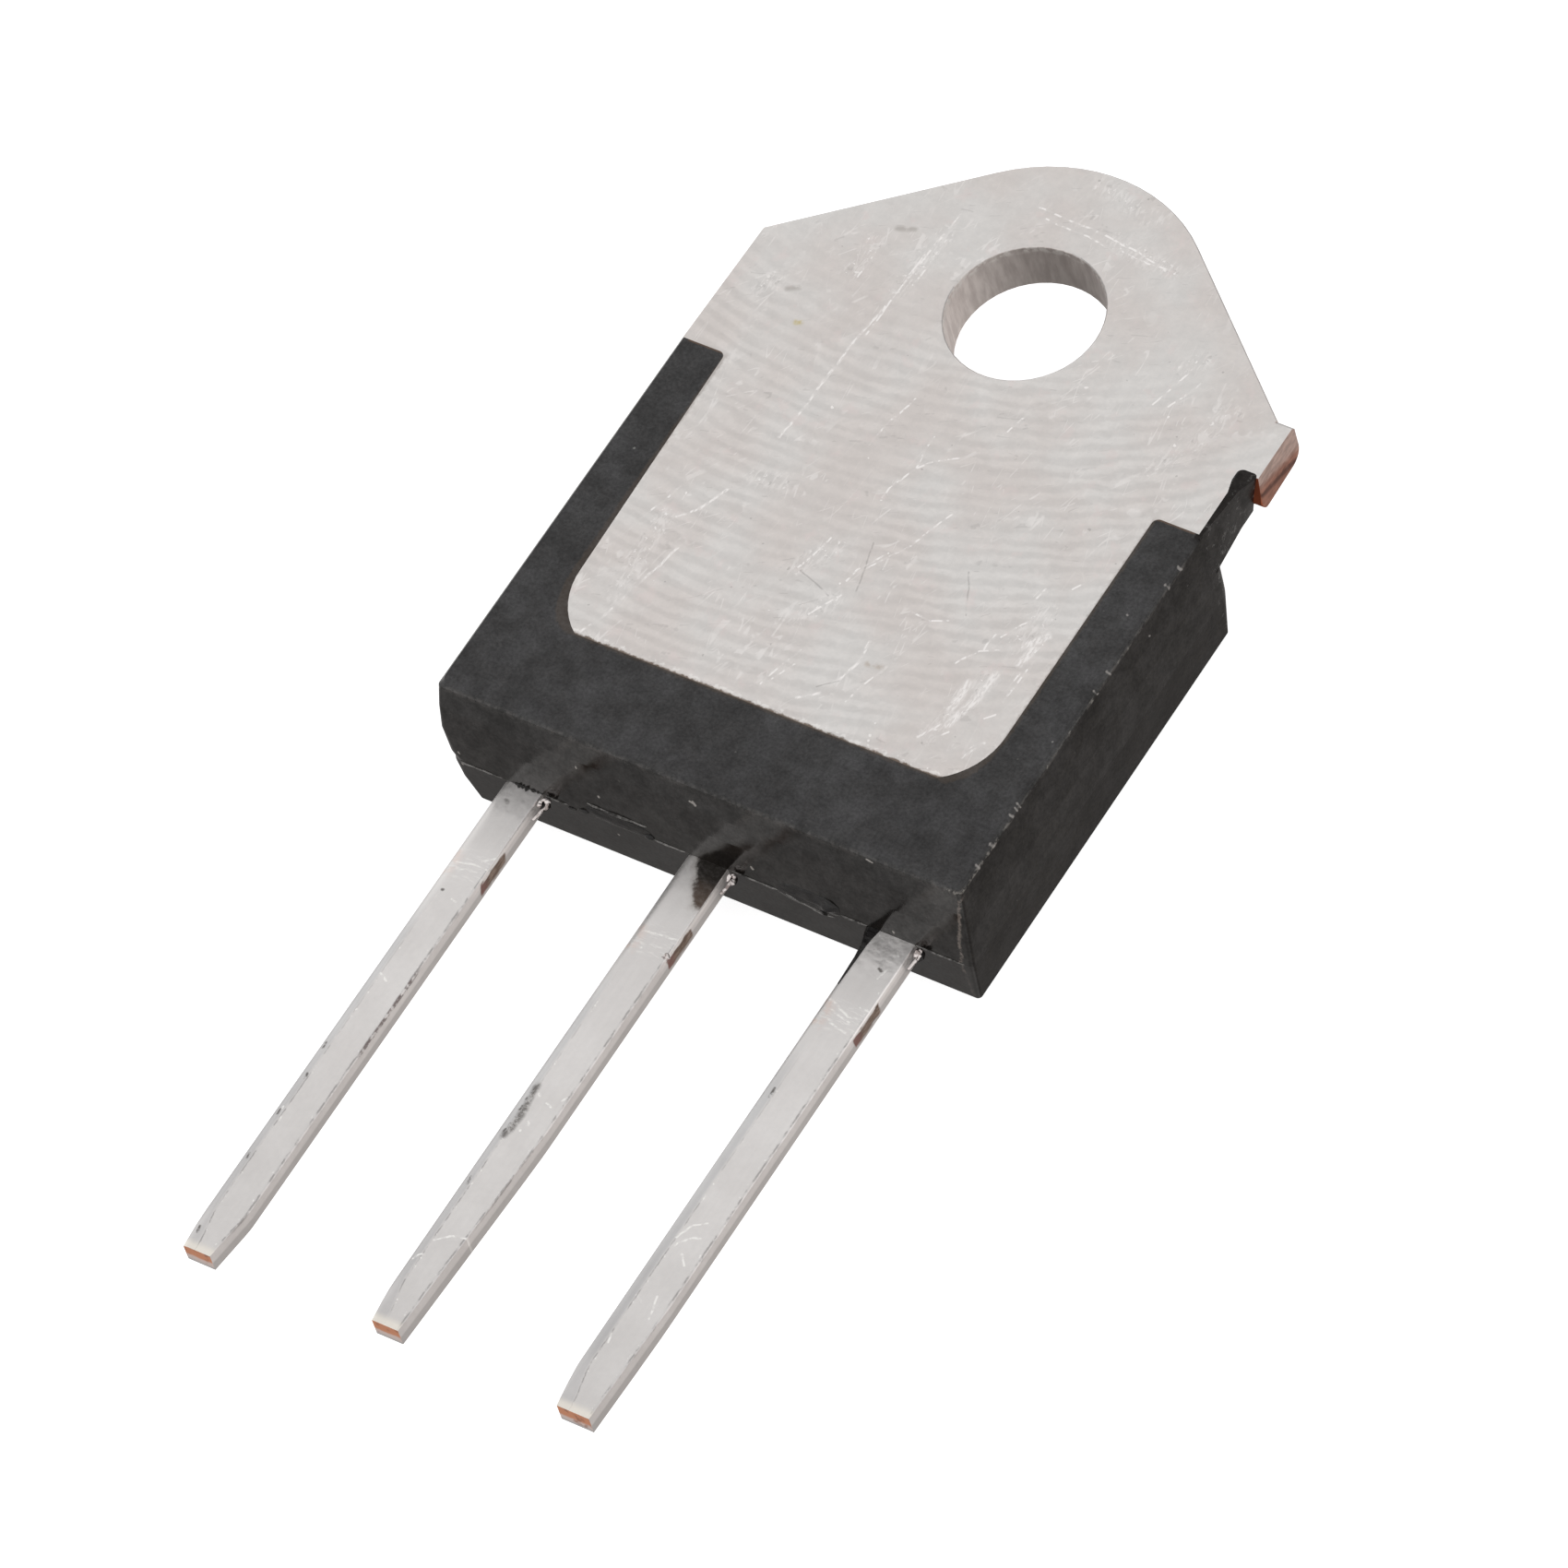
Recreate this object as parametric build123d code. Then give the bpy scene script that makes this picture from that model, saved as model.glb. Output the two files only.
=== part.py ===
"""Insulated three-lead power triac with a screw-down metal plate (millimetres).

Frame: origin at the centre of the mounting hole on the metal face.
+X runs across the three leads, +Y from the leads towards the rounded end of the plate,
+Z points out of the metal face. The part lies on its plastic front face.
"""
import os
from math import acos, atan2, cos, exp, hypot, pi, sin

from build123d import *

# ---- heat-sink plate ----
plate_thickness = 1.5
hole_diameter = 4.12
tip_radius = 4.61            # rounded end, concentric with the hole
head_half_width = 7.54       # half the width of the exposed head
shoulder_drop = 0.30         # hole centre down to the shoulder corners
left_spread = 0.08           # how far the sheared left side leans out by the frame
edge_roll = 0.07             # rolled edge of the hole and the head on the metal face
rim_drop = 0.35              # how far the coined rim lies below the metal face
rim_width = 0.65             # how far the rim reaches out under the moulding at each side
rim_tail = 0.9               # how far the rim reaches under the moulding at the lead end

# ---- sheared stub of the tie bar at the right shoulder ----
lug_setback = 0.12           # shoulder corner down to the lug's outer corner
lug_length = 1.64
lug_reach = 0.49             # how far the lug stands out of the head's side
lug_depth = 1.24             # thickness of the lug at its lower end
lug_lean = 0.1               # how much thinner it is at its upper end
lug_toe_reach = 0.1          # how far its rounded upper end runs out under the shoulder
lug_toe_radius = 0.42
lug_heel_reach = 0.1         # how far its lower end leans out at the bottom
lug_heel_radius = 0.2
lug_corner = 0.12            # rounded corner between the lower end and the cut face

# ---- moulding ----
body_thickness = 4.5         # metal face to plastic front face
parting_depth = 2.54         # metal face to the mould's parting line
frame_side_margin = 0.10     # how far the moulding stands out of the head's sides
flank_bulge = 0.115          # how far the flanks stand out further at the parting line
front_flank_draft = 0.365    # how far they fall back again by the front
frame_drop = 4.11            # hole centre down to the frame on the metal side
seat_drop = 3.68             # hole centre down to the moulding under the head
seat_draft = 0.16            # how much that face leans back by the front
seat_corner = 0.4            # radius of the vertical corners at its ends, down to the parting line
seat_front_corner = 0.1      # and by the front
end_drop = 15.70             # hole centre down to the end face on the metal side
end_bulge = 0.45             # how far the end face stands out at the parting line
front_end_draft = 0.26       # how far it falls back again by the front
face_crown = 0.05            # how far flanks and end face belly out behind the parting line
edge_chamfer = 0.05          # worn edges of the back and the front
sharp_corner = 0.12          # radius of the vertical corners
worn_corner = 0.3            # radius of the one at the gate lead, on the metal side
notch_corner_growth = 0.5    # how much rounder that one is at the parting line
notch_corner_spread = 0.45   # depth over which most of that is lost again

# ---- window in the moulding, filled by the raised field of the plate ----
right_frame_wall = 1.26      # head's right side to the window
left_frame_wall = 1.2        # head's left side to the window, at its upper end
window_left_lean = 0.17      # how much nearer the left side is at its lower end
window_bottom_drop = 13.0
window_corner_length = 1.75  # bowed lower corners
window_corner_width = 0.92
window_corner_bow = 0.25
window_top_radius = 0.18     # rounded inner corners of the frame beside the head

# ---- side arm of the moulding between the right lug and the frame ----
arm_gap = 0.02               # lug's lower end to the arm's top, at the arm's far side
arm_cap_rise = 0.1           # how far its swollen top climbs over the lug on the metal face
arm_reach = 0.09             # how far the arm stands out of the head's side
arm_head_reach = 0.5         # and how far its swollen top does on the metal face
arm_waist_reach = 0.24
arm_waist_drop = 0.6         # arm's top down to its waist
arm_foot_step = 0.01         # frame's flank to the arm's foot
arm_bite = 0.1               # how far its swollen top bites into the head's side
arm_bite_length = 0.76
arm_inner_radius = 0.17      # rounded corners of its top
arm_outer_radius = 0.12
arm_root_share = 0.3         # bite and rounding left at the arm's far side

# ---- leads ----
lead_pitch = 5.46
lead_width = 1.26
gate_lead_width = 1.18
lead_thickness = 0.6
lead_length = 14.96          # outside the moulding
middle_lead_shortfall = 0.15
lead_edge = 0.05             # long edges left by the shearing tool
gate_lead_roll = 0.36        # rolled left edge of each lead, on the metal side
a2_lead_roll = 0.33
a1_lead_roll = 0.2
tip_taper_length = 1.5
tip_width = 0.8
a2_long_taper = 6.4          # right side of the middle lead, trimmed at a slant
a2_slant_share = 0.925       # of the other tips' half width
a1_long_taper = 3.5          # right side of the A1 lead
a1_slant_share = 1.325

# ---- stack between plate and leads ----
tab_solder_thickness = 0.08
foil_thickness = 0.10        # metal on each face of the ceramic tile
pad_solder_thickness = 0.08
ceramic_half_width = 5.5
ceramic_length = 9.2
ceramic_end_margin = 0.55    # lead end of the plate to the tile
foil_margin = 0.45           # bare ceramic around the metal

# ---- die pad, die and its connections ----
pad_half_width = 4.15
pad_length = 7.9
pad_end_margin = 0.5         # end of the metal foil to the pad
neck_half_width = 0.62
die_side = 6.4
die_thickness = 0.34
die_solder_thickness = 0.06
contact_solder_thickness = 0.06
clip_thickness = 0.3
clip_width = 3.9
clip_joint_length = 4.6      # soldered length of the clip on the die
clip_edge_margin = 0.55      # edge of the die to the soldered patch
clip_overhang = 0.25         # how far the clip's flat runs past the die
clip_bend_run = 0.9          # length of the sloping part
post_end_margin = 0.9        # how far the outer leads run in beside the die's near edge
gate_wire_diameter = 0.3
gate_wire_loop = 0.42        # how far the wire's back stands off the die
gate_land = 0.65             # corner of the die to the wire's foot

hole_radius = hole_diameter / 2
lug_drop = shoulder_drop + lug_setback
window_right_half = head_half_width - right_frame_wall
window_left_half = head_half_width - left_frame_wall
back_half_width = head_half_width + frame_side_margin
parting_half_width = back_half_width + flank_bulge
front_half_width = parting_half_width - front_flank_draft
lead_back = -parting_depth
lead_front = lead_back - lead_thickness
body_front = -body_thickness
parting_end = -end_drop - end_bulge
rim_half_width = window_right_half + rim_width
rim_end = -window_bottom_drop - rim_tail

lower_foil_back = -plate_thickness - tab_solder_thickness
ceramic_back = lower_foil_back - foil_thickness
upper_foil_front = lead_back + pad_solder_thickness
ceramic_front = upper_foil_front + foil_thickness
ceramic_end = rim_end + ceramic_end_margin
ceramic_centre = ceramic_end + ceramic_length / 2
foil_half_width = ceramic_half_width - foil_margin
foil_half_length = ceramic_length / 2 - foil_margin
pad_end = ceramic_centre - foil_half_length + pad_end_margin
pad_centre = pad_end + pad_length / 2

die_back = lead_front - die_solder_thickness
die_front = die_back - die_thickness
clip_back = die_front - contact_solder_thickness
foot_back = lead_front - contact_solder_thickness
die_half = die_side / 2
clip_joint_end = die_half - clip_edge_margin
clip_start = clip_joint_end - clip_joint_length
clip_land_end = die_half + clip_overhang
clip_foot_start = clip_land_end + clip_bend_run
clip_foot_end = lead_pitch + lead_width / 2
clip_centre = pad_centre + (die_side - clip_width) / 2 - clip_edge_margin
post_top = pad_centre + die_half + post_end_margin


def box_between(x0, x1, y0, y1, z0, z1):
    """Block between two corners."""
    return Pos((x0 + x1) / 2, (y0 + y1) / 2, (z0 + z1) / 2) * Box(x1 - x0, y1 - y0, z1 - z0)


def tile(half_width, centre, half_length, back, front):
    """Flat tile lying between two depths."""
    return box_between(-half_width, half_width, centre - half_length, centre + half_length, front, back)


def prism(points, back, front, radii=None):
    """Plan outline, with its corners rounded if radii are given, between two depths."""
    corners = [Vector(x, y, back) for x, y in points]
    if radii is None:
        wire = Polyline(*corners, close=True)
    else:
        wire = FilletPolyline(*corners, radius=radii, close=True)
    return extrude(make_face(wire.edges()), amount=back - front, dir=(0, 0, -1))


# ---------------------------------------------------------------- moulding

def outline_at(depth):
    """Half width and end position of the moulding at a depth below the metal face."""
    if depth <= parting_depth:
        share = depth / parting_depth
        crown = face_crown * sin(pi * share)
        half = back_half_width + (parting_half_width - back_half_width) * share + crown
        return half, -end_drop - end_bulge * share - crown
    share = (depth - parting_depth) / (body_thickness - parting_depth)
    half = parting_half_width + (front_half_width - parting_half_width) * share
    return half, parting_end + front_end_draft * share


def gate_corner(depth):
    """Radius of the vertical corner beside the gate lead, at a depth below the metal face."""
    return sharp_corner + notch_corner_growth * exp(-abs(depth - parting_depth) / notch_corner_spread)


def slab_face(depth, top, inset=0.0, corner=None, upper_corner=0.0):
    """Cross-section of the moulding at one depth, with its vertical corners rounded."""
    half, end = outline_at(depth)
    half -= inset
    end += inset
    corners = [(-half, top), (-half, end), (half, end), (half, top)]
    radii = [upper_corner, corner or gate_corner(depth), sharp_corner, upper_corner]
    wire = FilletPolyline(*[Vector(x, y, -depth) for x, y in corners], radius=radii, close=True)
    return make_face(wire.edges())


def seat_top(depth):
    """Position of the moulding's upper end face under the head of the plate."""
    share = (depth - plate_thickness) / (body_thickness - plate_thickness)
    return -seat_drop - seat_draft * share


def seat_face(depth, inset=0.0):
    """Cross-section of the moulding below the plate."""
    share = max(0, depth - parting_depth) / (body_thickness - parting_depth)
    corner = seat_corner + (seat_front_corner - seat_corner) * share
    return slab_face(depth, seat_top(depth), inset, upper_corner=corner)


def moulding_envelope():
    """Outer form of the moulding: two drafted halves that meet at the parting line."""
    frame = [slab_face(0, -frame_drop, edge_chamfer, worn_corner)]
    frame += [slab_face(depth, -frame_drop) for depth in (edge_chamfer, plate_thickness / 2, plate_thickness)]
    near = parting_depth - notch_corner_spread / 2
    back = [seat_face(depth) for depth in (plate_thickness, near, parting_depth)]
    far = parting_depth + notch_corner_spread / 2
    farther = parting_depth + 2 * notch_corner_spread
    front = [seat_face(depth) for depth in (parting_depth, far, farther, body_thickness - edge_chamfer)]
    front.append(seat_face(body_thickness, edge_chamfer))
    return loft(frame, ruled=True) + loft(back, ruled=True) + loft(front, ruled=True)


def arm_section(depth, swell):
    """Plan of the side arm at one depth; swell is how much of its swollen top is left there."""
    side = head_half_width
    top = -lug_drop - lug_length - arm_gap + (arm_gap + arm_cap_rise) * swell
    root = max(swell, arm_root_share)
    inner = side - arm_bite * root
    head = side + arm_reach + (arm_head_reach - arm_reach) * swell
    waist = side + arm_reach + (arm_waist_reach - arm_reach) * swell
    foot = outline_at(depth)[0] - arm_foot_step
    end = -frame_drop - sharp_corner
    corners = [(side, end), (side, top - arm_bite_length), (inner, top - arm_bite_length / 2), (inner, top),
               (head, top), (waist, top - arm_waist_drop), (foot, -frame_drop), (foot, end)]
    radii = [0, 0, 0, arm_inner_radius * root, arm_outer_radius * root, 0, 0, 0]
    wire = FilletPolyline(*[Vector(x, y, -depth) for x, y in corners], radius=radii, close=True)
    return make_face(wire.edges())


def side_arm():
    """Strip of moulding that fills the corner between the right lug and the frame."""
    return loft([arm_section(0, 1), arm_section(plate_thickness, 0)], ruled=True)


# ---------------------------------------------------------------- plate

def tangent_point():
    """Point where the sloping edge leaves the rounded end, on the right."""
    far = hypot(head_half_width, shoulder_drop)
    angle = atan2(-shoulder_drop, head_half_width) + acos(tip_radius / far)
    return tip_radius * cos(angle), tip_radius * sin(angle)


def head_edges():
    """Outline of the exposed head above the frame: rounded end, sloping edges, sides."""
    tx, ty = tangent_point()
    side = head_half_width
    arc = ThreePointArc((tx, ty), (0, tip_radius), (-tx, ty))
    left = Polyline((-tx, ty), (-side, -shoulder_drop), (-side - left_spread, -frame_drop),
                    (-window_left_half, -frame_drop))
    right = Polyline((window_right_half, -frame_drop), (side, -frame_drop), (side, -shoulder_drop), (tx, ty))
    return arc.edges() + left.edges() + right.edges()


def window_edges():
    """Outline of the raised field in the window: sides, bowed lower corners and bottom."""
    bottom = -window_bottom_drop
    foot = bottom + window_corner_length
    left = -window_left_half + window_left_lean
    right = window_right_half
    left_toe = (left + window_corner_width, bottom)
    right_toe = (right - window_corner_width, bottom)
    sides = [Line((-window_left_half, -frame_drop), (left, foot)), Line((right, foot), (right, -frame_drop))]
    corners = [SagittaArc((left, foot), left_toe, -window_corner_bow),
               SagittaArc(right_toe, (right, foot), -window_corner_bow)]
    return sides + corners + [Line(left_toe, right_toe)]


def plate_face():
    """Plan of the metal face, with rounded corners where the window meets the head."""
    face = make_face(head_edges() + window_edges())
    inner = [vertex for vertex in face.vertices()
             if abs(vertex.Y + frame_drop) < 1e-6
             and (vertex.X + window_left_half) * (vertex.X - window_right_half) < 1e-6]
    return fillet(inner, window_top_radius)


def lug():
    """Sheared stub of the tie bar, joined to the shoulder and rounded off at its upper end."""
    upper = -lug_drop
    lower = -lug_drop - lug_length
    heel = lower - lug_heel_reach
    toe = upper + lug_toe_reach
    side = head_half_width
    plan = prism([(side - lug_reach, heel), (side + lug_reach, heel), (side + lug_reach, toe),
                  (side, -shoulder_drop), (side - lug_reach, upper)], 0, -plate_thickness,
                 [0, lug_corner, 0, 0, 0])
    outline = [(upper, 0), (toe, -lug_toe_reach), (toe, -lug_depth + lug_lean), (heel, -lug_depth), (lower, 0)]
    wire = FilletPolyline(*[Vector(side - lug_reach, y, z) for y, z in outline],
                          radius=[0, 0, lug_toe_radius, lug_heel_radius, 0], close=True)
    return plan & extrude(make_face(wire.edges()), amount=2 * lug_reach, dir=(1, 0, 0))


def rolled_edges(plate):
    """Edges of the metal face that the stamping tool rolled over: the hole and the rounded head."""
    edges = plate.edges().filter_by(lambda edge: abs(edge.center().Z) < 1e-6)
    return [edge for edge in edges if edge.center().Y > -shoulder_drop
            and edge.bounding_box().size.Z < 1e-6]


def heat_tab(arm):
    """Stamped plate: head, raised field in the window, coined rim, lug and hole."""
    plate = extrude(plate_face(), amount=plate_thickness, dir=(0, 0, -1))
    plate -= Pos(0, 0, -plate_thickness / 2) * Cylinder(hole_radius, 2 * plate_thickness)
    plate = fillet(rolled_edges(plate), edge_roll)
    rim = box_between(-rim_half_width, rim_half_width, rim_end, -frame_drop + rim_width,
                      -plate_thickness, -rim_drop)
    return plate + rim + lug() - arm


# ---------------------------------------------------------------- leads

def tip_waste(centre, side, half, tip, length, tip_half):
    """Wedge that the trimming takes off one side of a lead, down to its tip."""
    flank = centre + side * half
    corner = centre + side * tip_half
    waste = centre + side * half * 2
    return prism([(flank, tip + length), (corner, tip), (corner, tip - lead_edge),
                  (waste, tip - lead_edge), (waste, tip + length)], 0, -body_thickness)


def lead_bar(centre, width, roll, inner_end, shortfall=0.0,
             right_taper=tip_taper_length, slant_share=1.0):
    """Flat lead with a tapered tip and a rolled left edge on the metal side."""
    tip = parting_end - lead_length + shortfall
    half = width / 2
    root = parting_end + end_bulge
    section = [(centre - half, lead_back), (centre + half, lead_back),
               (centre + half, lead_front), (centre - half, lead_front)]
    wire = FilletPolyline(*[Vector(x, root, z) for x, z in section],
                          radius=[roll, lead_edge, lead_edge, lead_edge], close=True)
    bar = extrude(make_face(wire.edges()), amount=root - tip, dir=(0, -1, 0))
    bar -= tip_waste(centre, -1, half, tip, tip_taper_length, tip_width / 2)
    bar -= tip_waste(centre, 1, half, tip, right_taper, slant_share * tip_width / 2)
    return bar + box_between(centre - half, centre + half, root, inner_end, lead_front, lead_back)


def middle_lead():
    """Middle lead with the die pad at its inner end."""
    bar = lead_bar(0, lead_width, a2_lead_roll, pad_end, middle_lead_shortfall,
                   a2_long_taper, a2_slant_share)
    pad = tile(pad_half_width, pad_centre, pad_length / 2, lead_back, lead_front)
    return bar + pad


# ---------------------------------------------------------------- connections

def clip():
    """Copper strap: flat on the die, sloping part, foot on the outer lead."""
    low = clip_back - clip_thickness
    high = foot_back - clip_thickness
    points = [(clip_start, clip_back), (clip_land_end, clip_back), (clip_foot_start, foot_back),
              (clip_foot_end, foot_back), (clip_foot_end, high), (clip_foot_start, high),
              (clip_land_end, low), (clip_start, low)]
    edge = clip_centre + clip_width / 2
    wire = Polyline(*[Vector(x, edge, z) for x, z in points], close=True)
    return extrude(make_face(wire.edges()), amount=clip_width, dir=(0, -1, 0))


def contact_solder(x0, x1, back):
    """Solder film under one end of the strap."""
    return box_between(x0, x1, clip_centre - clip_width / 2, clip_centre + clip_width / 2,
                       back - contact_solder_thickness, back)


def gate_wire():
    """Thick bond wire in one loop from the die's corner to the gate lead."""
    foot_y = pad_centre - die_half + gate_land
    foot_x = gate_land - die_half
    back = die_front - gate_wire_loop
    path = FilletPolyline((foot_x, foot_y, die_front), (foot_x, foot_y, back),
                          (-lead_pitch, foot_y, back), (-lead_pitch, foot_y, lead_front),
                          radius=gate_wire_diameter)
    section = Plane(origin=(foot_x, foot_y, die_front), z_dir=(0, 0, -1)) * Circle(gate_wire_diameter / 2)
    return sweep(section, path=path)


# ---------------------------------------------------------------- assembly

def inner_pieces():
    """Everything that the moulding encloses, by node name."""
    arm = side_arm()
    foil = (foil_half_width, ceramic_centre, foil_half_length)
    pad = (pad_half_width, pad_centre, pad_length / 2)
    die = (die_half, pad_centre, die_half)
    return {
        "heat_tab": heat_tab(arm),
        "tab_solder": tile(*foil, -plate_thickness, lower_foil_back),
        "insulator_lower_metal": tile(*foil, lower_foil_back, ceramic_back),
        "ceramic_insulator": tile(ceramic_half_width, ceramic_centre, ceramic_length / 2,
                                  ceramic_back, ceramic_front),
        "insulator_upper_metal": tile(*foil, ceramic_front, upper_foil_front),
        "pad_solder": tile(*pad, upper_foil_front, lead_back),
        "lead_a2": middle_lead(),
        "die_solder": tile(*die, lead_front, die_back),
        "triac_die": tile(*die, die_back, die_front),
        "a1_die_solder": contact_solder(clip_start, clip_joint_end, die_front),
        "a1_clip": clip(),
        "a1_lead_solder": contact_solder(lead_pitch - lead_width / 2, clip_foot_end, lead_front),
        "lead_a1": lead_bar(lead_pitch, lead_width, a1_lead_roll, post_top,
                            right_taper=a1_long_taper, slant_share=a1_slant_share),
        "gate_wire": gate_wire(),
        "lead_gate": lead_bar(-lead_pitch, gate_lead_width, gate_lead_roll, post_top),
    }


def moulded_body(pieces):
    """The moulding, which fills the space around every enclosed piece."""
    body = moulding_envelope() + side_arm()
    for piece in pieces.values():
        body -= piece
    return body


os.makedirs("parts", exist_ok=True)
parts = inner_pieces()
parts["moulded_body"] = moulded_body(parts)
for name, solid in parts.items():
    export_step(solid, f"parts/{name}.step")
    print(name, round(solid.volume, 3))
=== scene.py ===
import bpy
import math
from mathutils import Matrix, Vector, noise


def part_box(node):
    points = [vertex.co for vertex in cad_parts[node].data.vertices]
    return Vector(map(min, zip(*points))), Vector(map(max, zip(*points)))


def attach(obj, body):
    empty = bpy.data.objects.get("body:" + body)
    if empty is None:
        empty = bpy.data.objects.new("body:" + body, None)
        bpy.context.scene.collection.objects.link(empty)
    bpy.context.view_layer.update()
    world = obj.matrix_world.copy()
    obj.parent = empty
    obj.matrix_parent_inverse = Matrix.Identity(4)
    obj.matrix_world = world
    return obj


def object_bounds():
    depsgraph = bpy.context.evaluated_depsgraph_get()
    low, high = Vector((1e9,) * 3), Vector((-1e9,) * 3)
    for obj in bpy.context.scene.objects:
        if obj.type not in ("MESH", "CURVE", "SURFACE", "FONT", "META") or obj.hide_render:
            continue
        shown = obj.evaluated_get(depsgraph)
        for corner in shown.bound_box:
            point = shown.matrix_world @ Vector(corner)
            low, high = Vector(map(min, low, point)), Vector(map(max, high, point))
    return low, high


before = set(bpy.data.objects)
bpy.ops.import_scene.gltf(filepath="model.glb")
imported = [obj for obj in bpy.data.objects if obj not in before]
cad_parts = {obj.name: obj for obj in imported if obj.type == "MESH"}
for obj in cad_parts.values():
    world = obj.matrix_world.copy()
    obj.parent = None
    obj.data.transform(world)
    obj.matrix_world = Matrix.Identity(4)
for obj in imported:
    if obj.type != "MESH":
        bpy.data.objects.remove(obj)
cad_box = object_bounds()
MM = 0.001

# ---- camera: place, the point it looks at, and how far it is turned about its own axis ----
CAMERA_PLACE = Vector((138.915, -143.522, 248.840)) * MM
CAMERA_AIM = Vector((1.968, -14.712, 0.0)) * MM
CAMERA_ROLL = math.radians(-18.525)
CAMERA_LENS = 295.17

# ---- places on the part, in millimetres ----
LEADS = ("lead_gate", "lead_a2", "lead_a1")
LEAD_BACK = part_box("lead_gate")[1].z / MM
PARTING_Z = LEAD_BACK                # the mould's parting line runs along the leads' backs
BODY_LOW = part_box("moulded_body")[0] / MM
END_Y = BODY_LOW.y                   # the end face at the parting line
END_BACK_Y = -15.70                  # and on the metal side
END_BULGE = 0.45                     # how far it stands out at the parting line
END_CROWN = 0.05                     # how far it bellies out on the way there
END_FRONT_DRAFT = 0.26               # how far it falls back again by the front
WINDOW_BOTTOM = -13.0
WINDOW_HALF = 6.3
WINDOW_CORNER = (0.92, 1.75)         # reach of the window's lower corners, across and along
FRAME_TOP = -4.11                    # ends of the frame beside the head
FLANK_X = 7.6                        # right flank on the metal side

# ---- colours, linear ----
SCRAPED_AND_HIGHLIGHT = (1.0, 0.98, 0.95)           # freshly scraped plating, and the painted highlights along the leads' rims
TIN = (0.790, 0.757, 0.738)
TIN_WARM = (0.775, 0.752, 0.738)
NICKEL_WARM = (0.762, 0.712, 0.684)
NICKEL = (0.745, 0.722, 0.702)
BLEED = (0.10, 0.058, 0.028)         # resin bled out along a rim
EPOXY_BACK = (0.0168, 0.0155, 0.0156)
# the end face's and the flanks' tones are the back's resin darkened as painted shade
EPOXY_END_SHADED = (0.0086, 0.0070, 0.0058)
EPOXY_FLANK_SHADED = (0.0150, 0.0126, 0.0110)
NO_CHANGE = (1.0, 1.0, 1.0)


# ==== node graphs

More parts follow.
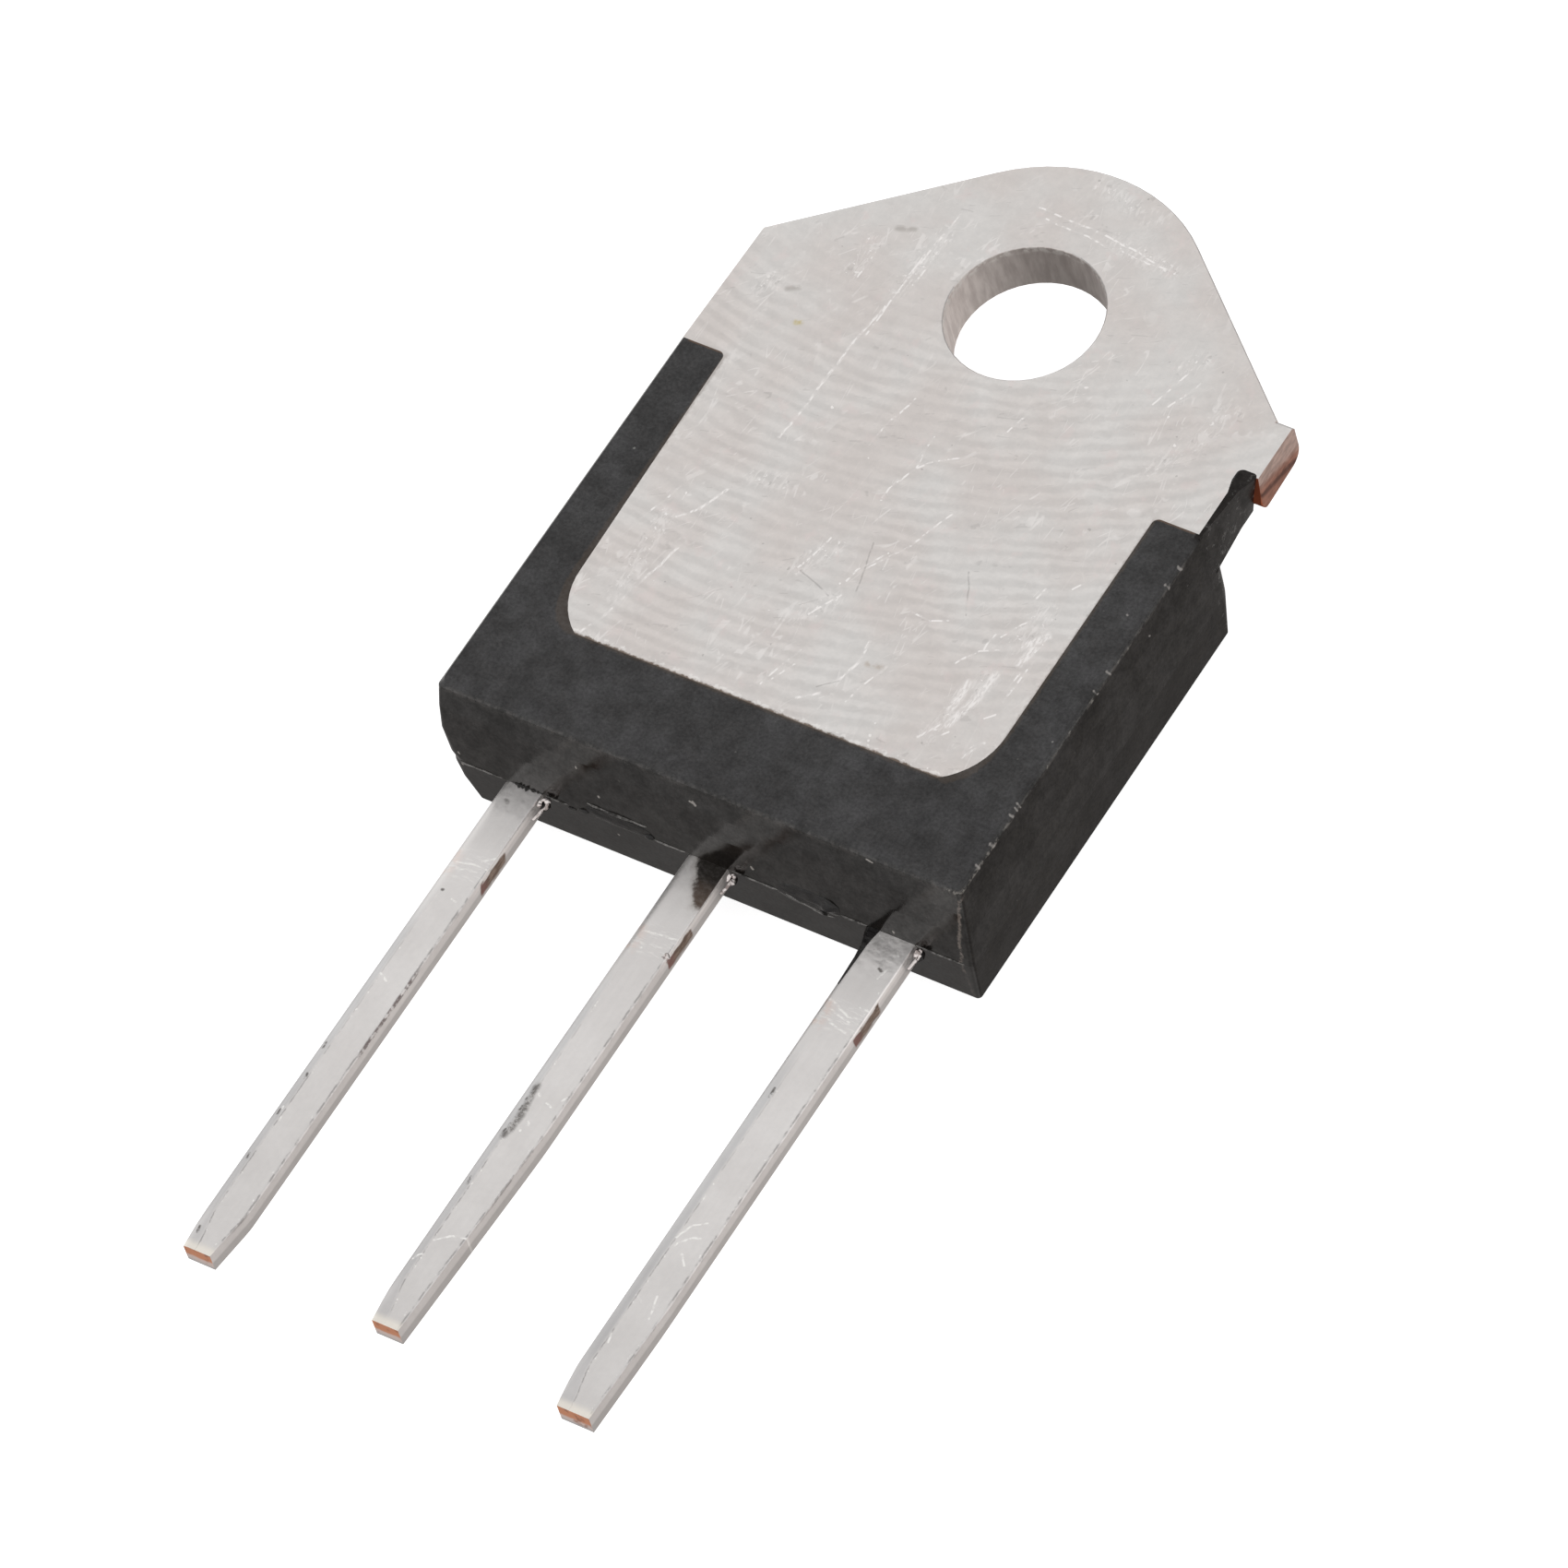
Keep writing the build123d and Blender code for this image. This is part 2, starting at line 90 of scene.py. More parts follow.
class Graph:
    """Short names for building a node tree. Lengths in it are millimetres."""

    def __init__(self, tree):
        self.tree = tree
        tree.nodes.clear()

    def node(self, kind, settings=None, **inputs):
        made = self.tree.nodes.new(kind)
        for name, value in (settings or {}).items():
            setattr(made, name, value)
        for name, value in inputs.items():
            self.feed(made.inputs[name.replace("_", " ")], value)
        return made

    def feed(self, socket, value):
        if isinstance(value, bpy.types.NodeSocket):
            self.tree.links.new(value, socket)
        else:
            socket.default_value = value

    def math(self, operation, *values):
        made = self.node("ShaderNodeMath", {"operation": operation})
        for socket, value in zip(made.inputs, values):
            self.feed(socket, value)
        return made.outputs[0]

    def vector(self, operation, *values):
        made = self.node("ShaderNodeVectorMath", {"operation": operation})
        for socket, value in zip(made.inputs, values):
            self.feed(socket, value)
        return made.outputs["Value" if operation in ("LENGTH", "DISTANCE", "DOT_PRODUCT") else "Vector"]

    def plus(self, first, second):
        return self.math("ADD", first, second)

    def minus(self, first, second):
        return self.math("SUBTRACT", first, second)

    def scaled(self, vector, factors):
        return self.vector("MULTIPLY", vector, factors)

    def moved(self, vector, way):
        return self.vector("ADD", vector, way)

    def pair(self, first, second):
        """Flat place from two numbers."""
        return self.node("ShaderNodeCombineXYZ", X=first, Y=second, Z=0.0).outputs[0]

    def split(self, vector):
        return self.node("ShaderNodeSeparateXYZ", Vector=vector).outputs[:]

    def on_part(self):
        """Place on the part in millimetres."""
        coords = self.node("ShaderNodeTexCoord").outputs["Object"]
        return self.scaled(coords, (1 / MM, 1 / MM, 1 / MM))

    def locate(self, origin=None):
        """Note the place, its parts from the origin, its plan, and the way that the surface faces."""
        self.place = self.on_part()
        local = self.place if origin is None else self.vector("SUBTRACT", self.place, origin)
        self.x, self.y, self.z = self.split(local)
        self.nx, self.ny, self.nz = self.split(self.node("ShaderNodeNewGeometry").outputs["True Normal"])
        self.flat = self.scaled(local, (1.0, 1.0, 0.0))

    def grain(self, vector, scale, detail=2.0, roughness=0.5):
        made = self.node("ShaderNodeTexNoise", Vector=vector, Scale=scale, Detail=detail, Roughness=roughness)
        return made.outputs["Fac"]

    def swirl(self, vector, scale, detail):
        """Three noises at once, for moving places about."""
        return self.node("ShaderNodeTexNoise", Vector=vector, Scale=scale, Detail=detail).outputs["Color"]

    def shaken(self, vector, swirl, reach):
        """Place moved about by a swirl, over the reach from side to side."""
        pushed = self.moved(vector, self.scaled(swirl, reach))
        return self.vector("SUBTRACT", pushed, tuple(part / 2 for part in reach))

    def uneven(self, grain, reach):
        """The grain as an unevenness around zero."""
        return self.both(self.minus(grain, 0.5), reach)

    def ease(self, value, start, end, low=0.0, high=1.0):
        """Smooth step from low to high as the value goes from start to end."""
        settings = {"interpolation_type": "SMOOTHSTEP", "clamp": False}
        made = self.node("ShaderNodeMapRange", settings, Value=value)
        if start > end:
            start, end, low, high = end, start, high, low
        for name, number in (("From Min", start), ("From Max", end), ("To Min", low), ("To Max", high)):
            made.inputs[name].default_value = number
        return made.outputs[0]

    def band(self, value, low, high, soft):
        """One between low and high, falling to zero over a soft margin."""
        rise = self.ease(value, low - soft, low + soft)
        return self.both(rise, self.ease(value, high + soft, high - soft))

    def folded(self, operation, masks):
        made = masks[0]
        for mask in masks[1:]:
            made = self.math(operation, made, mask)
        return made

    def both(self, *masks):
        """Product: the masks where they all are, or a mask at a strength."""
        return self.folded("MULTIPLY", masks)

    def either(self, *masks):
        """Largest: the masks where any of them is."""
        return self.folded("MAXIMUM", masks)

    def blend(self, factor, first, second):
        made = self.node("ShaderNodeMix", {"data_type": "RGBA", "clamp_factor": True})
        sockets = [made.inputs[0], made.inputs[6], made.inputs[7]]
        for socket, value in zip(sockets, (factor, first, second)):
            if isinstance(value, tuple) and len(value) == 3:
                value = (*value, 1.0)
            self.feed(socket, value)
        return made.outputs[2]

    def paint(self, colour, tint, *masks):
        """The colour with a tint laid over it where all the masks are."""
        return self.blend(self.both(*masks), colour, tint)

    def coat(self, tint, *masks):
        """Lay a tint over the running colour where all the masks are."""
        self.colour = self.paint(self.colour, tint, *masks)

    def multiply(self, colour, factor):
        settings = {"data_type": "RGBA", "blend_type": "MULTIPLY", "clamp_factor": True}
        made = self.node("ShaderNodeMix", settings)
        made.inputs[0].default_value = 1.0
        self.feed(made.inputs[6], colour)
        self.feed(made.inputs[7], factor)
        return made.outputs[2]

    def capsule(self, flat, start, end):
        """Distance in millimetres from a straight stroke."""
        run = Vector((end[0] - start[0], end[1] - start[1], 0.0))
        offset = self.vector("SUBTRACT", flat, (start[0], start[1], 0.0))
        share = self.vector("DOT_PRODUCT", offset, tuple(run / run.length_squared))
        share = self.math("MAXIMUM", self.math("MINIMUM", share, 1.0), 0.0)
        nearest = self.node("ShaderNodeVectorMath", {"operation": "SCALE"})
        nearest.inputs[0].default_value = tuple(run)
        self.feed(nearest.inputs["Scale"], share)
        return self.vector("DISTANCE", offset, nearest.outputs[0])

    def marks(self, flat, strokes, half_width, core=0.35):
        """Mask of a group of strokes through points, solid within the core share of their width."""
        nearest = None
        for stroke in strokes:
            for start, end in zip(stroke, stroke[1:]):
                distance = self.capsule(flat, start, end)
                nearest = distance if nearest is None else self.math("MINIMUM", nearest, distance)
        return self.ease(nearest, half_width, half_width * core)


def window_gap(g):
    """Distance in millimetres outside the plate's window, negative inside it, away from its open top."""
    across, along = WINDOW_CORNER
    bend = 2.2
    u = g.minus(g.math("ABSOLUTE", g.x), WINDOW_HALF - across)
    u = g.math("MAXIMUM", g.math("DIVIDE", u, across), 0.001)
    v = g.minus(WINDOW_BOTTOM + along, g.y)
    v = g.math("MAXIMUM", g.math("DIVIDE", v, along), 0.001)
    reach = g.plus(g.math("POWER", u, bend), g.math("POWER", v, bend))
    reach = g.math("POWER", reach, 1 / bend)
    spread = g.plus(g.both(u, across), g.both(v, along))
    spread = g.math("DIVIDE", spread, g.plus(u, v))
    return g.both(g.minus(reach, 1.0), spread)


def material(name):
    """New node material, its graph and its surface shader."""
    made = bpy.data.materials.new(name)
    made.use_nodes = True
    graph = Graph(made.node_tree)
    shader = graph.node("ShaderNodeBsdfPrincipled")
    out = graph.node("ShaderNodeOutputMaterial")
    made.node_tree.links.new(shader.outputs[0], out.inputs["Surface"])
    return made, graph, shader


def surface(g, shader, colour, rough, height, depth, metallic=0.0):
    """Feed the shader; its relief is the depth in millimetres where the height goes from zero to one."""
    relief = g.node("ShaderNodeBump", Strength=1.0, Distance=depth * MM, Height=height)
    for name, value in (("Base Color", colour), ("Metallic", metallic), ("Roughness", rough),
                        ("Normal", relief.outputs[0])):
        g.feed(shader.inputs[name], value)


def dress(node, *materials):
    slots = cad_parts[node].data.materials
    slots.clear()
    for made in materials:
        slots.append(made)


# ==== plate

# strokes in millimetres on the metal face
LONG_SCRATCHES = [
    [(-3.1, 2.0), (-3.2, 0.8), (-3.35, -1.2), (-3.55, -2.8), (-3.6, -4.6), (-3.7, -5.8)],
    [(-5.15, -12.9), (-4.94, -12.5), (-4.73, -11.65), (-4.5, -10.7), (-4.25, -9.75)],
    [(-4.8, -8.9), (-4.4, -8.5), (-4.05, -7.7)],
    [(0.9, -12.4), (1.3, -12.05), (1.57, -11.55), (1.75, -10.9), (1.68, -10.2)],
    [(4.29, -12.15), (4.59, -11.61)],
    [(5.61, -12.23), (5.90, -11.66)],
]
# broad strokes where the plating is polished bright
BUFFED = [
    [(4.78, -11.53), (5.04, -10.52), (5.08, -9.78)], [(4.59, -11.08), (4.60, -10.71), (4.58, -10.27)],
    [(5.36, -8.67), (5.67, -8.26)], [(5.47, -9.25), (5.54, -8.77)],
]
FINE_SCRATCHES = [
    [(-3.28, 0.6), (-3.3, -0.1), (-3.33, -2.2)],
    [(-3.0, 1.2), (-3.05, -0.4)],
    [(-4.5, -0.85), (-4.48, 0.2)],
    [(-0.3, -6.4), (-0.28, -5.95), (0.0, -5.25), (0.25, -4.9), (1.0, -4.4)],
    [(0.0, -5.25), (-0.1, -4.6), (-0.1, -4.2)],
    [(0.4, -8.4), (0.75, -7.85), (1.1, -7.3), (1.4, -6.5), (1.6, -5.95)],
    [(-0.15, -10.1), (0.3, -9.3)],
    [(-1.15, -9.0), (-1.0, -8.55), (-0.85, -7.9)],
    [(-0.15, -12.4), (0.0, -11.8), (0.2, -11.1)],
    [(0.0, -12.25), (0.3, -11.55)],
    [(5.69, -10.41), (5.70, -9.51), (5.74, -9.04)], [(4.60, -8.74), (4.93, -8.23), (5.22, -7.92)],
    [(4.63, -12.06), (4.91, -11.74)], [(5.59, -12.06), (5.69, -11.84)], [(5.51, -11.03), (5.70, -10.81)],
    [(5.61, -8.83), (5.67, -8.53)], [(5.56, -9.93), (5.60, -9.46)],
    [(0.19, -8.87), (0.26, -8.47), (0.70, -7.73)],
    [(4.44, -9.26), (4.39, -8.92), (4.43, -8.72)], [(4.81, -7.43), (4.88, -7.08)],
    [(5.51, -6.8), (5.67, -6.55)],
    [(4.0, -9.9), (4.35, -9.35), (4.8, -9.1)],
    [(-1.4, 3.0), (-0.3, 2.95), (0.6, 2.9), (1.5, 2.8), (2.35, 2.6)],
    [(-1.0, 2.75), (0.3, 2.7), (1.2, 2.55)],
    [(1.0, 2.7), (2.1, 2.55), (2.75, 2.6)],
    [(4.45, -1.2), (4.67, -0.35), (4.85, 0.3)],
    [(4.85, -1.1), (5.25, -0.1)],
    [(-1.5, -5.1), (-1.4, -4.3), (-1.15, -3.4)],
    [(2.1, -12.0), (2.3, -11.1)],
    [(1.5, -3.4), (1.7, -2.7)],
    [(2.2, -9.0), (2.75, -9.05), (3.15, -8.85)],
    [(-5.6, -9.3), (-5.2, -8.1)],
]
DARK_SCRATCHES = [
    [(-1.05, -9.05), (0.0, -9.45)],
    [(3.45, -8.55), (3.34, -8.3), (3.14, -7.84), (2.85, -7.4)],
    [(0.2, -7.6), (0.6, -9.2)],
    [(2.55, -9.1), (2.75, -9.05)],
    [(1.15, -11.9), (1.6, -11.5)],
]
# broader ones along which it is rubbed and pitted
RUBBED = [
    [(-4.95, -11.6), (-5.1, -9.0)], [(4.5, -12.0), (5.0, -9.9)], [(5.1, -8.8), (5.3, -7.6)],
    [(-4.75, -0.7), (-4.65, 0.4)], [(1.0, 2.8), (2.8, 2.6)], [(4.65, 0.1), (4.9, 0.5)],
    [(-3.15, 1.3), (-3.3, -0.6)], [(6.1, -1.7), (6.4, -0.6)], [(-0.2, 4.2), (1.6, 3.8)],
    [(-1.2, -9.0), (-0.6, -8.1)], [(-0.4, -10.3), (0.2, -9.5)], [(-3.6, -7.1), (-2.9, -6.9)],
    [(5.5, -2.9), (5.7, -2.3)], [(-6.6, -2.0), (-6.4, -1.6)],
]
# small stains: a short stroke, its colour and how much of it covers
STAINS = [
    ([(-5.20, -2.56), (-5.10, -2.52)], (0.62, 0.52, 0.24), 0.8),
    ([(1.97, -10.80), (2.35, -10.75)], (0.46, 0.38, 0.30), 0.5),
    ([(-5.95, -1.75), (-5.70, -1.60)], (0.38, 0.35, 0.32), 0.5),
    ([(-4.35, 1.00), (-3.95, 1.12)], (0.38, 0.35, 0.32), 0.5),
]


def ripple_shading(g):
    """Light and shade of shallow rolled ripples, painted into the colour: about 0.4 mm apart, they bend
    across the plate.
    """
    centre, pitch = (-3.4, 12.5, 0.0), 0.415
    radius = g.vector("LENGTH", g.vector("SUBTRACT", g.flat, centre))
    wobble = g.grain(g.scaled(g.flat, (0.5, 1.3, 1.0)), 1.0)
    fine = g.grain(g.scaled(g.flat, (1.5, 2.5, 1.0)), 2.2)
    bent = g.plus(g.plus(radius, g.both(wobble, 0.55)), g.both(fine, 0.16))
    wave = g.ease(g.math("SINE", g.both(bent, 2 * math.pi / pitch)), -0.9, 0.9, -1.0, 1.0)
    strength = g.ease(g.grain(g.flat, 0.3), 0.32, 0.60, 0.4, 1.0)
    calm = g.ease(g.y, 0.8, -3.0, 0.15, 1.0)
    worn = g.either(g.ease(g.x, 5.4, 3.0), g.ease(g.y, -11.8, -8.5))
    return g.both(wave, strength, calm, g.ease(worn, 0.0, 1.0, 0.35, 1.0))


def hairlines(g, flat, turn, scale, thickness):
    """Long thin lines, nearly straight along the direction turned from the X axis."""
    local = g.node("ShaderNodeMapping", {"vector_type": "TEXTURE"}, Vector=flat)
    local.inputs["Rotation"].default_value = (0.0, 0.0, math.radians(turn))
    local.inputs["Scale"].default_value = (1 / (0.16 * scale), 1 / scale, 1.0)
    level = g.grain(local.outputs[0], 1.0, 1.0)
    return g.ease(g.math("ABSOLUTE", g.minus(level, 0.5)), thickness, thickness * 0.3)


def speck_field(g, place, scale, size, share):
    """Small irregular specks, one at most in each cell."""
    jitter = g.scaled(g.swirl(place, 7.0, 2.0), (0.12, 0.12, 0.0))
    cells = g.node("ShaderNodeTexVoronoi", {"feature": "F1"}, Vector=g.moved(place, jitter), Scale=scale)
    pick = g.split(cells.outputs["Color"])
    inside = g.math("LESS_THAN", cells.outputs["Distance"], g.both(pick[1], size))
    return g.both(inside, g.math("LESS_THAN", pick[0], share))


def plate_tone(g, mottle, grit):
    """Satin plating: two tones in clouds, with the ripples' painted light and shade, and the grain."""
    cloud = g.grain(g.flat, 0.35, 3.0)
    # painted light and shade of the ripples
    level = g.plus(0.985, g.both(ripple_shading(g), 0.047))
    level = g.both(level, g.ease(cloud, 0.25, 0.75, 0.95, 1.04), g.ease(mottle, 0.3, 0.7, 0.965, 1.03),
                   g.ease(grit, 0.25, 0.75, 0.965, 1.03))
    return g.multiply(g.blend(g.ease(cloud, 0.35, 0.65), NICKEL_WARM, NICKEL), level)


def rubbing(g, drifted):
    """Masks of the fine hairs and scores, and of what is bright and what is dark in the rubbed places."""
    flat = g.flat
    busy = g.ease(g.grain(flat, 0.5, 3.0), 0.44, 0.60)
    gaps = g.ease(g.grain(flat, 2.3), 0.48, 0.58)
    hairs = g.either(hairlines(g, flat, 80, 1.1, 0.012), hairlines(g, flat, 52, 1.4, 0.010),
                     hairlines(g, g.moved(flat, (9.0, 4.0, 0.0)), 100, 1.7, 0.012))
    hairs = g.both(hairs, gaps, g.either(busy, 0.25))
    scores = g.both(hairlines(g, flat, 25, 1.3, 0.008), g.ease(g.grain(flat, 2.9), 0.55, 0.62))
    patches = g.marks(drifted, RUBBED, 0.42, 0.2)
    scuff = g.ease(g.grain(g.scaled(drifted, (4.6, 1.3, 1.0)), 2.3, 2.0, 0.6), 0.50, 0.60)
    glint = g.ease(g.grain(drifted, 6.0, 2.0, 0.6), 0.62, 0.68)
    rubbed = g.both(patches, g.either(g.both(scuff, 0.40), glint))
    pitted = g.both(patches, g.ease(g.grain(drifted, 3.7, 3.0, 0.7), 0.40, 0.30))
    return hairs, scores, rubbed, pitted


def plate_marks(g, drifted):
    """Masks of all that is bright and of all that is dark on the metal face."""
    flat = g.flat
    hairs, scores, rubbed, pitted = rubbing(g, drifted)
    broken = g.ease(g.grain(flat, 3.1), 0.40, 0.54, 0.12, 1.0)
    hatch = g.ease(g.grain(g.scaled(drifted, (3.5, 1.0, 1.0)), 4.5, 2.0, 0.6), 0.40, 0.58, 0.25, 1.0)
    long_marks = g.both(g.marks(drifted, LONG_SCRATCHES, 0.060, 0.1), broken, hatch)
    buffed = g.both(g.marks(drifted, BUFFED, 0.17, 0.2), hatch, 0.85)
    sparkle = g.ease(g.grain(flat, 4.4), 0.46, 0.58, 0.10, 1.0)
    fine_marks = g.both(g.marks(drifted, FINE_SCRATCHES, 0.038), sparkle)
    dark_marks = g.both(g.marks(drifted, DARK_SCRATCHES, 0.030), broken)
    dots = speck_field(g, flat, 1.6, 0.075, 0.36)
    bright = g.either(long_marks, buffed, g.both(fine_marks, 0.90), g.both(rubbed, 0.75), g.both(hairs, 0.38),
                      g.both(dots, 0.8))
    specks = speck_field(g, g.moved(flat, (40.0, 0.0, 0.0)), 2.0, 0.09, 0.45)
    dark = g.either(g.both(specks, 0.26), g.both(pitted, 0.22), g.both(dark_marks, 0.28),
                    g.both(scores, 0.14))
    return bright, dark


def bleed_line(g):
    """Brown line where the resin meets the plate, with pale crusts beside it."""
    ragged_rim = g.plus(window_gap(g), g.uneven(g.grain(g.flat, 4.0, 4.0, 0.75), 0.22))
    lower = g.ease(g.y, -11.6, -12.6, 0.35, 1.0)
    stain = g.both(g.ease(ragged_rim, -0.075, -0.01), lower, g.ease(g.y, FRAME_TOP + 0.1, FRAME_TOP - 0.2))
    g.coat(BLEED, stain, 0.85)
    crust = g.both(g.band(ragged_rim, -0.16, -0.08, 0.03), lower, g.ease(g.grain(g.flat, 6.0), 0.5, 0.6))
    g.coat(SCRAPED_AND_HIGHLIGHT, crust, 0.5)


def punched_walls(g, wall, furrow):
    """Rolled rim of the plate darkened as a painted reflection, and its punched and sheared walls, darker
    than the face as painted shade and lighter towards low y as painted light.
    """
    # painted reflection: the rolled rim darkened
    rim_shade = g.both(g.ease(g.nz, 0.97, 0.80), g.either(g.ease(g.ny, -0.1, 0.1), g.ease(g.nx, 0.0, -0.2)))
    g.coat((0.17, 0.165, 0.165), rim_shade, 0.6)
    chalk = g.both(g.ease(g.z, -0.30, -0.12), g.ease(g.grain(g.place, 6.0), 0.42, 0.62))
    # the walls' tones, darker than the face as painted shade, with furrows in them
    tone = g.blend(g.ease(furrow, 0.30, 0.75), (0.46, 0.415, 0.395), (0.60, 0.555, 0.53))
    # lighter below y -0.6 as painted light
    tone = g.multiply(tone, g.ease(g.y, 1.6, -0.6, 1.0, 1.5))
    tone = g.paint(tone, (0.85, 0.83, 0.80), chalk, 0.6)
    g.coat(tone, wall)


def sheared_lug(g):
    """Bare copper of the lug: a pale band above, brown along the lower edges with a dark band there as
    painted shade, and its lower end painted with a glow, darker at the bottom as painted shade.
    """
    cut = g.both(g.ease(g.x, 7.86, 7.92), g.ease(g.nz, 0.6, 0.3))
    smear = g.grain(g.scaled(g.place, (1.0, 1.6, 4.5)), 1.7, 3.0, 0.6)
    slope = g.plus(g.plus(g.z, g.both(g.y, 0.28)), g.both(smear, 0.25))
    copper = g.blend(g.ease(slope, -0.62, -0.98), (0.54, 0.40, 0.35), (0.40, 0.20, 0.145))
    # dark band along the lower edges: painted shade
    copper = g.paint(copper, (0.13, 0.062, 0.048), g.band(slope, -1.22, -1.02, 0.06), 0.8)
    copper = g.multiply(copper, g.ease(smear, 0.35, 0.65, 0.82, 1.12))
    g.coat(copper, cut)
    # painted glow on the lower end, darker at the bottom as painted shade
    lower_end = g.both(g.ease(g.x, 7.55, 7.6), g.ease(g.ny, -0.5, -0.8))
    lower_end_glow = g.blend(g.ease(g.z, -0.95, -1.15), (0.50, 0.14, 0.065), (0.20, 0.055, 0.03))
    g.coat(lower_end_glow, lower_end)


def make_plate_plating():
    made, g, shader = material("plate_plating")
    g.locate()
    drifted = g.shaken(g.flat, g.swirl(g.flat, 1.1, 3.0), (0.16, 0.16, 0.0))
    mottle = g.grain(g.flat, 1.6, 4.0, 0.65)
    grit = g.grain(g.flat, 9.0, 3.0, 0.65)
    g.colour = plate_tone(g, mottle, grit)
    bright, dark = plate_marks(g, drifted)
    blush = g.ease(g.grain(g.flat, 1.3, 3.0, 0.6), 0.58, 0.70)
    g.coat((0.80, 0.70, 0.68), blush, 0.35)
    g.coat((1.0, 0.965, 0.945), bright)
    g.coat((0.16, 0.15, 0.14), dark)
    for stained, tint, depth in STAINS:
        spot = g.both(g.marks(drifted, [stained], 0.14, 0.1), g.ease(mottle, 0.42, 0.56))
        g.coat(tint, spot, depth)
    bleed_line(g)
    wall = g.ease(g.nz, 0.85, 0.35)
    furrow = g.grain(g.scaled(g.place, (5.0, 5.0, 1.2)), 1.0, 3.0, 0.6)
    punched_walls(g, wall, furrow)
    sheared_lug(g)

    rough = g.plus(g.ease(grit, 0.25, 0.75, 0.36, 0.50), g.both(g.either(wall, dark), 0.12))
    height = g.plus(g.both(grit, 0.5), g.both(wall, furrow))
    surface(g, shader, g.colour, rough, height, 0.004, 1.0)
    return made


# ==== leads

# Strokes in millimetres from the lead's centre line and from the end face, negative outwards.
# smudge: width, strength and strokes; burnt and copper: from and to along the lead;
# taper: how far the right side's taper runs and its half width at the tip.
LEAD_STORIES = {
    "lead_gate": {
        "half": 0.59,
        "bright": [
            [(-0.3, -2.6), (0.15, -2.5), (0.62, -2.5)], [(0.3, -2.35), (0.66, -2.05)],
            [(-0.3, -2.9), (0.0, -2.75)], [(-0.25, -6.2), (0.0, -6.35)], [(-0.35, -10.5), (-0.2, -10.9)],
            [(0.2, -3.6), (0.35, -3.65)]],
        "dark": [
            [(-0.17, -3.45), (-0.14, -3.45)], [(-0.40, -8.45), (-0.38, -8.65)],
            [(-0.33, -9.45), (-0.3, -9.6)], [(-0.36, -12.0), (-0.34, -12.1)],
            [(-0.38, -10.6), (-0.36, -10.75)], [(-0.33, -14.3), (-0.3, -14.5)]],
        "smudge": (0.10, 0.7, [[(-0.14, -0.50), (-0.08, -0.54)]]),
        "burnt": (-5.8, -8.4),
        "taper": (1.5, 0.40),
        "copper": (-1.85, -2.95),
        "lumps": 3.0,
        "smeared": False,
    },
    "lead_a2": {
        "half": 0.63,
        "bright": [
            [(-0.35, -2.4), (0.0, -2.35), (0.35, -2.35), (0.6, -2.3)], [(-0.4, -2.85), (-0.1, -2.9)],
            [(0.6, -2.9), (0.68, -2.9)], [(-0.21, -12.2), (0.05, -11.96), (0.28, -11.86), (0.51, -11.84)],
            [(-0.45, -12.9), (-0.35, -12.75), (-0.22, -12.7)], [(0.50, -7.55), (0.56, -7.40)],
            [(-0.14, -7.55), (-0.06, -7.62)], [(0.04, -8.38), (0.10, -8.44)], [(-0.02, -8.6), (0.02, -8.66)],
            [(0.18, -7.75), (0.32, -7.80)]],
        "dark": [
            [(-0.40, -10.3), (-0.38, -10.5)], [(-0.34, -7.42), (-0.36, -7.80)],
            [(-0.33, -8.0), (-0.31, -8.35)], [(-0.33, -8.6), (-0.36, -8.92)], [(-0.25, -8.1), (-0.22, -8.3)]],
        "smudge": (0.15, 0.95, [[(-0.33, -7.40), (-0.22, -8.1), (-0.23, -8.7), (-0.30, -8.95)]]),
        "burnt": None,
        "taper": (6.4, 0.37),
        "copper": (-1.8, -2.9),
        "lumps": 2.0,
        "smeared": True,
    },
    "lead_a1": {
        "half": 0.63,
        "bright": [
            [(-0.33, -0.12), (-0.15, -0.2)], [(0.30, -0.35), (0.42, -0.45)], [(0.35, -0.9), (0.30, -1.25)],
            [(-0.5, -2.2), (-0.2, -2.3), (0.2, -2.5), (0.45, -2.45)], [(-0.3, -2.45), (0.3, -2.65)],
            [(-0.1, -2.85), (0.4, -2.95)], [(0.35, -2.1), (0.6, -2.15)],
            [(-0.3, -9.7), (-0.1, -9.2), (0.2, -9.0)], [(-0.2, -9.9), (0.1, -9.5), (0.3, -9.45)],
            [(0.1, -10.0), (0.35, -10.3)],
            [(-0.3, -11.5), (-0.1, -11.6)], [(0.2, -11.3), (0.35, -11.9)], [(-0.25, -12.7), (-0.2, -12.9)]],
        "dark": [[(-0.35, -5.0), (-0.33, -5.3)], [(0.18, -0.95), (0.26, -1.0)]],
        "smudge": (0.08, 0.3, [[(-0.05, -0.4), (0.1, -0.45)], [(0.1, -0.75), (0.22, -0.95)]]),
        "burnt": None,
        "taper": (3.5, 0.53),
        "copper": (-1.8, -2.95),
        "lumps": 9.0,
        "smeared": False,
    },
}


def tin_tone(g, streak, grit):
    """Satin tin: two tones in clouds with streaks along the lead, duller towards the tip."""
    cloud = g.grain(g.place, 0.7, 3.0)
    level = g.both(g.ease(streak, 0.3, 0.7, 0.985, 1.012), g.ease(cloud, 0.3, 0.7, 0.96, 1.03),
                   g.ease(grit, 0.25, 0.75, 0.98, 1.02))
    level = g.both(level, g.ease(g.y, -8.0, -14.0, 1.0, 0.93))
    return g.multiply(g.blend(cloud, TIN, TIN_WARM), level)


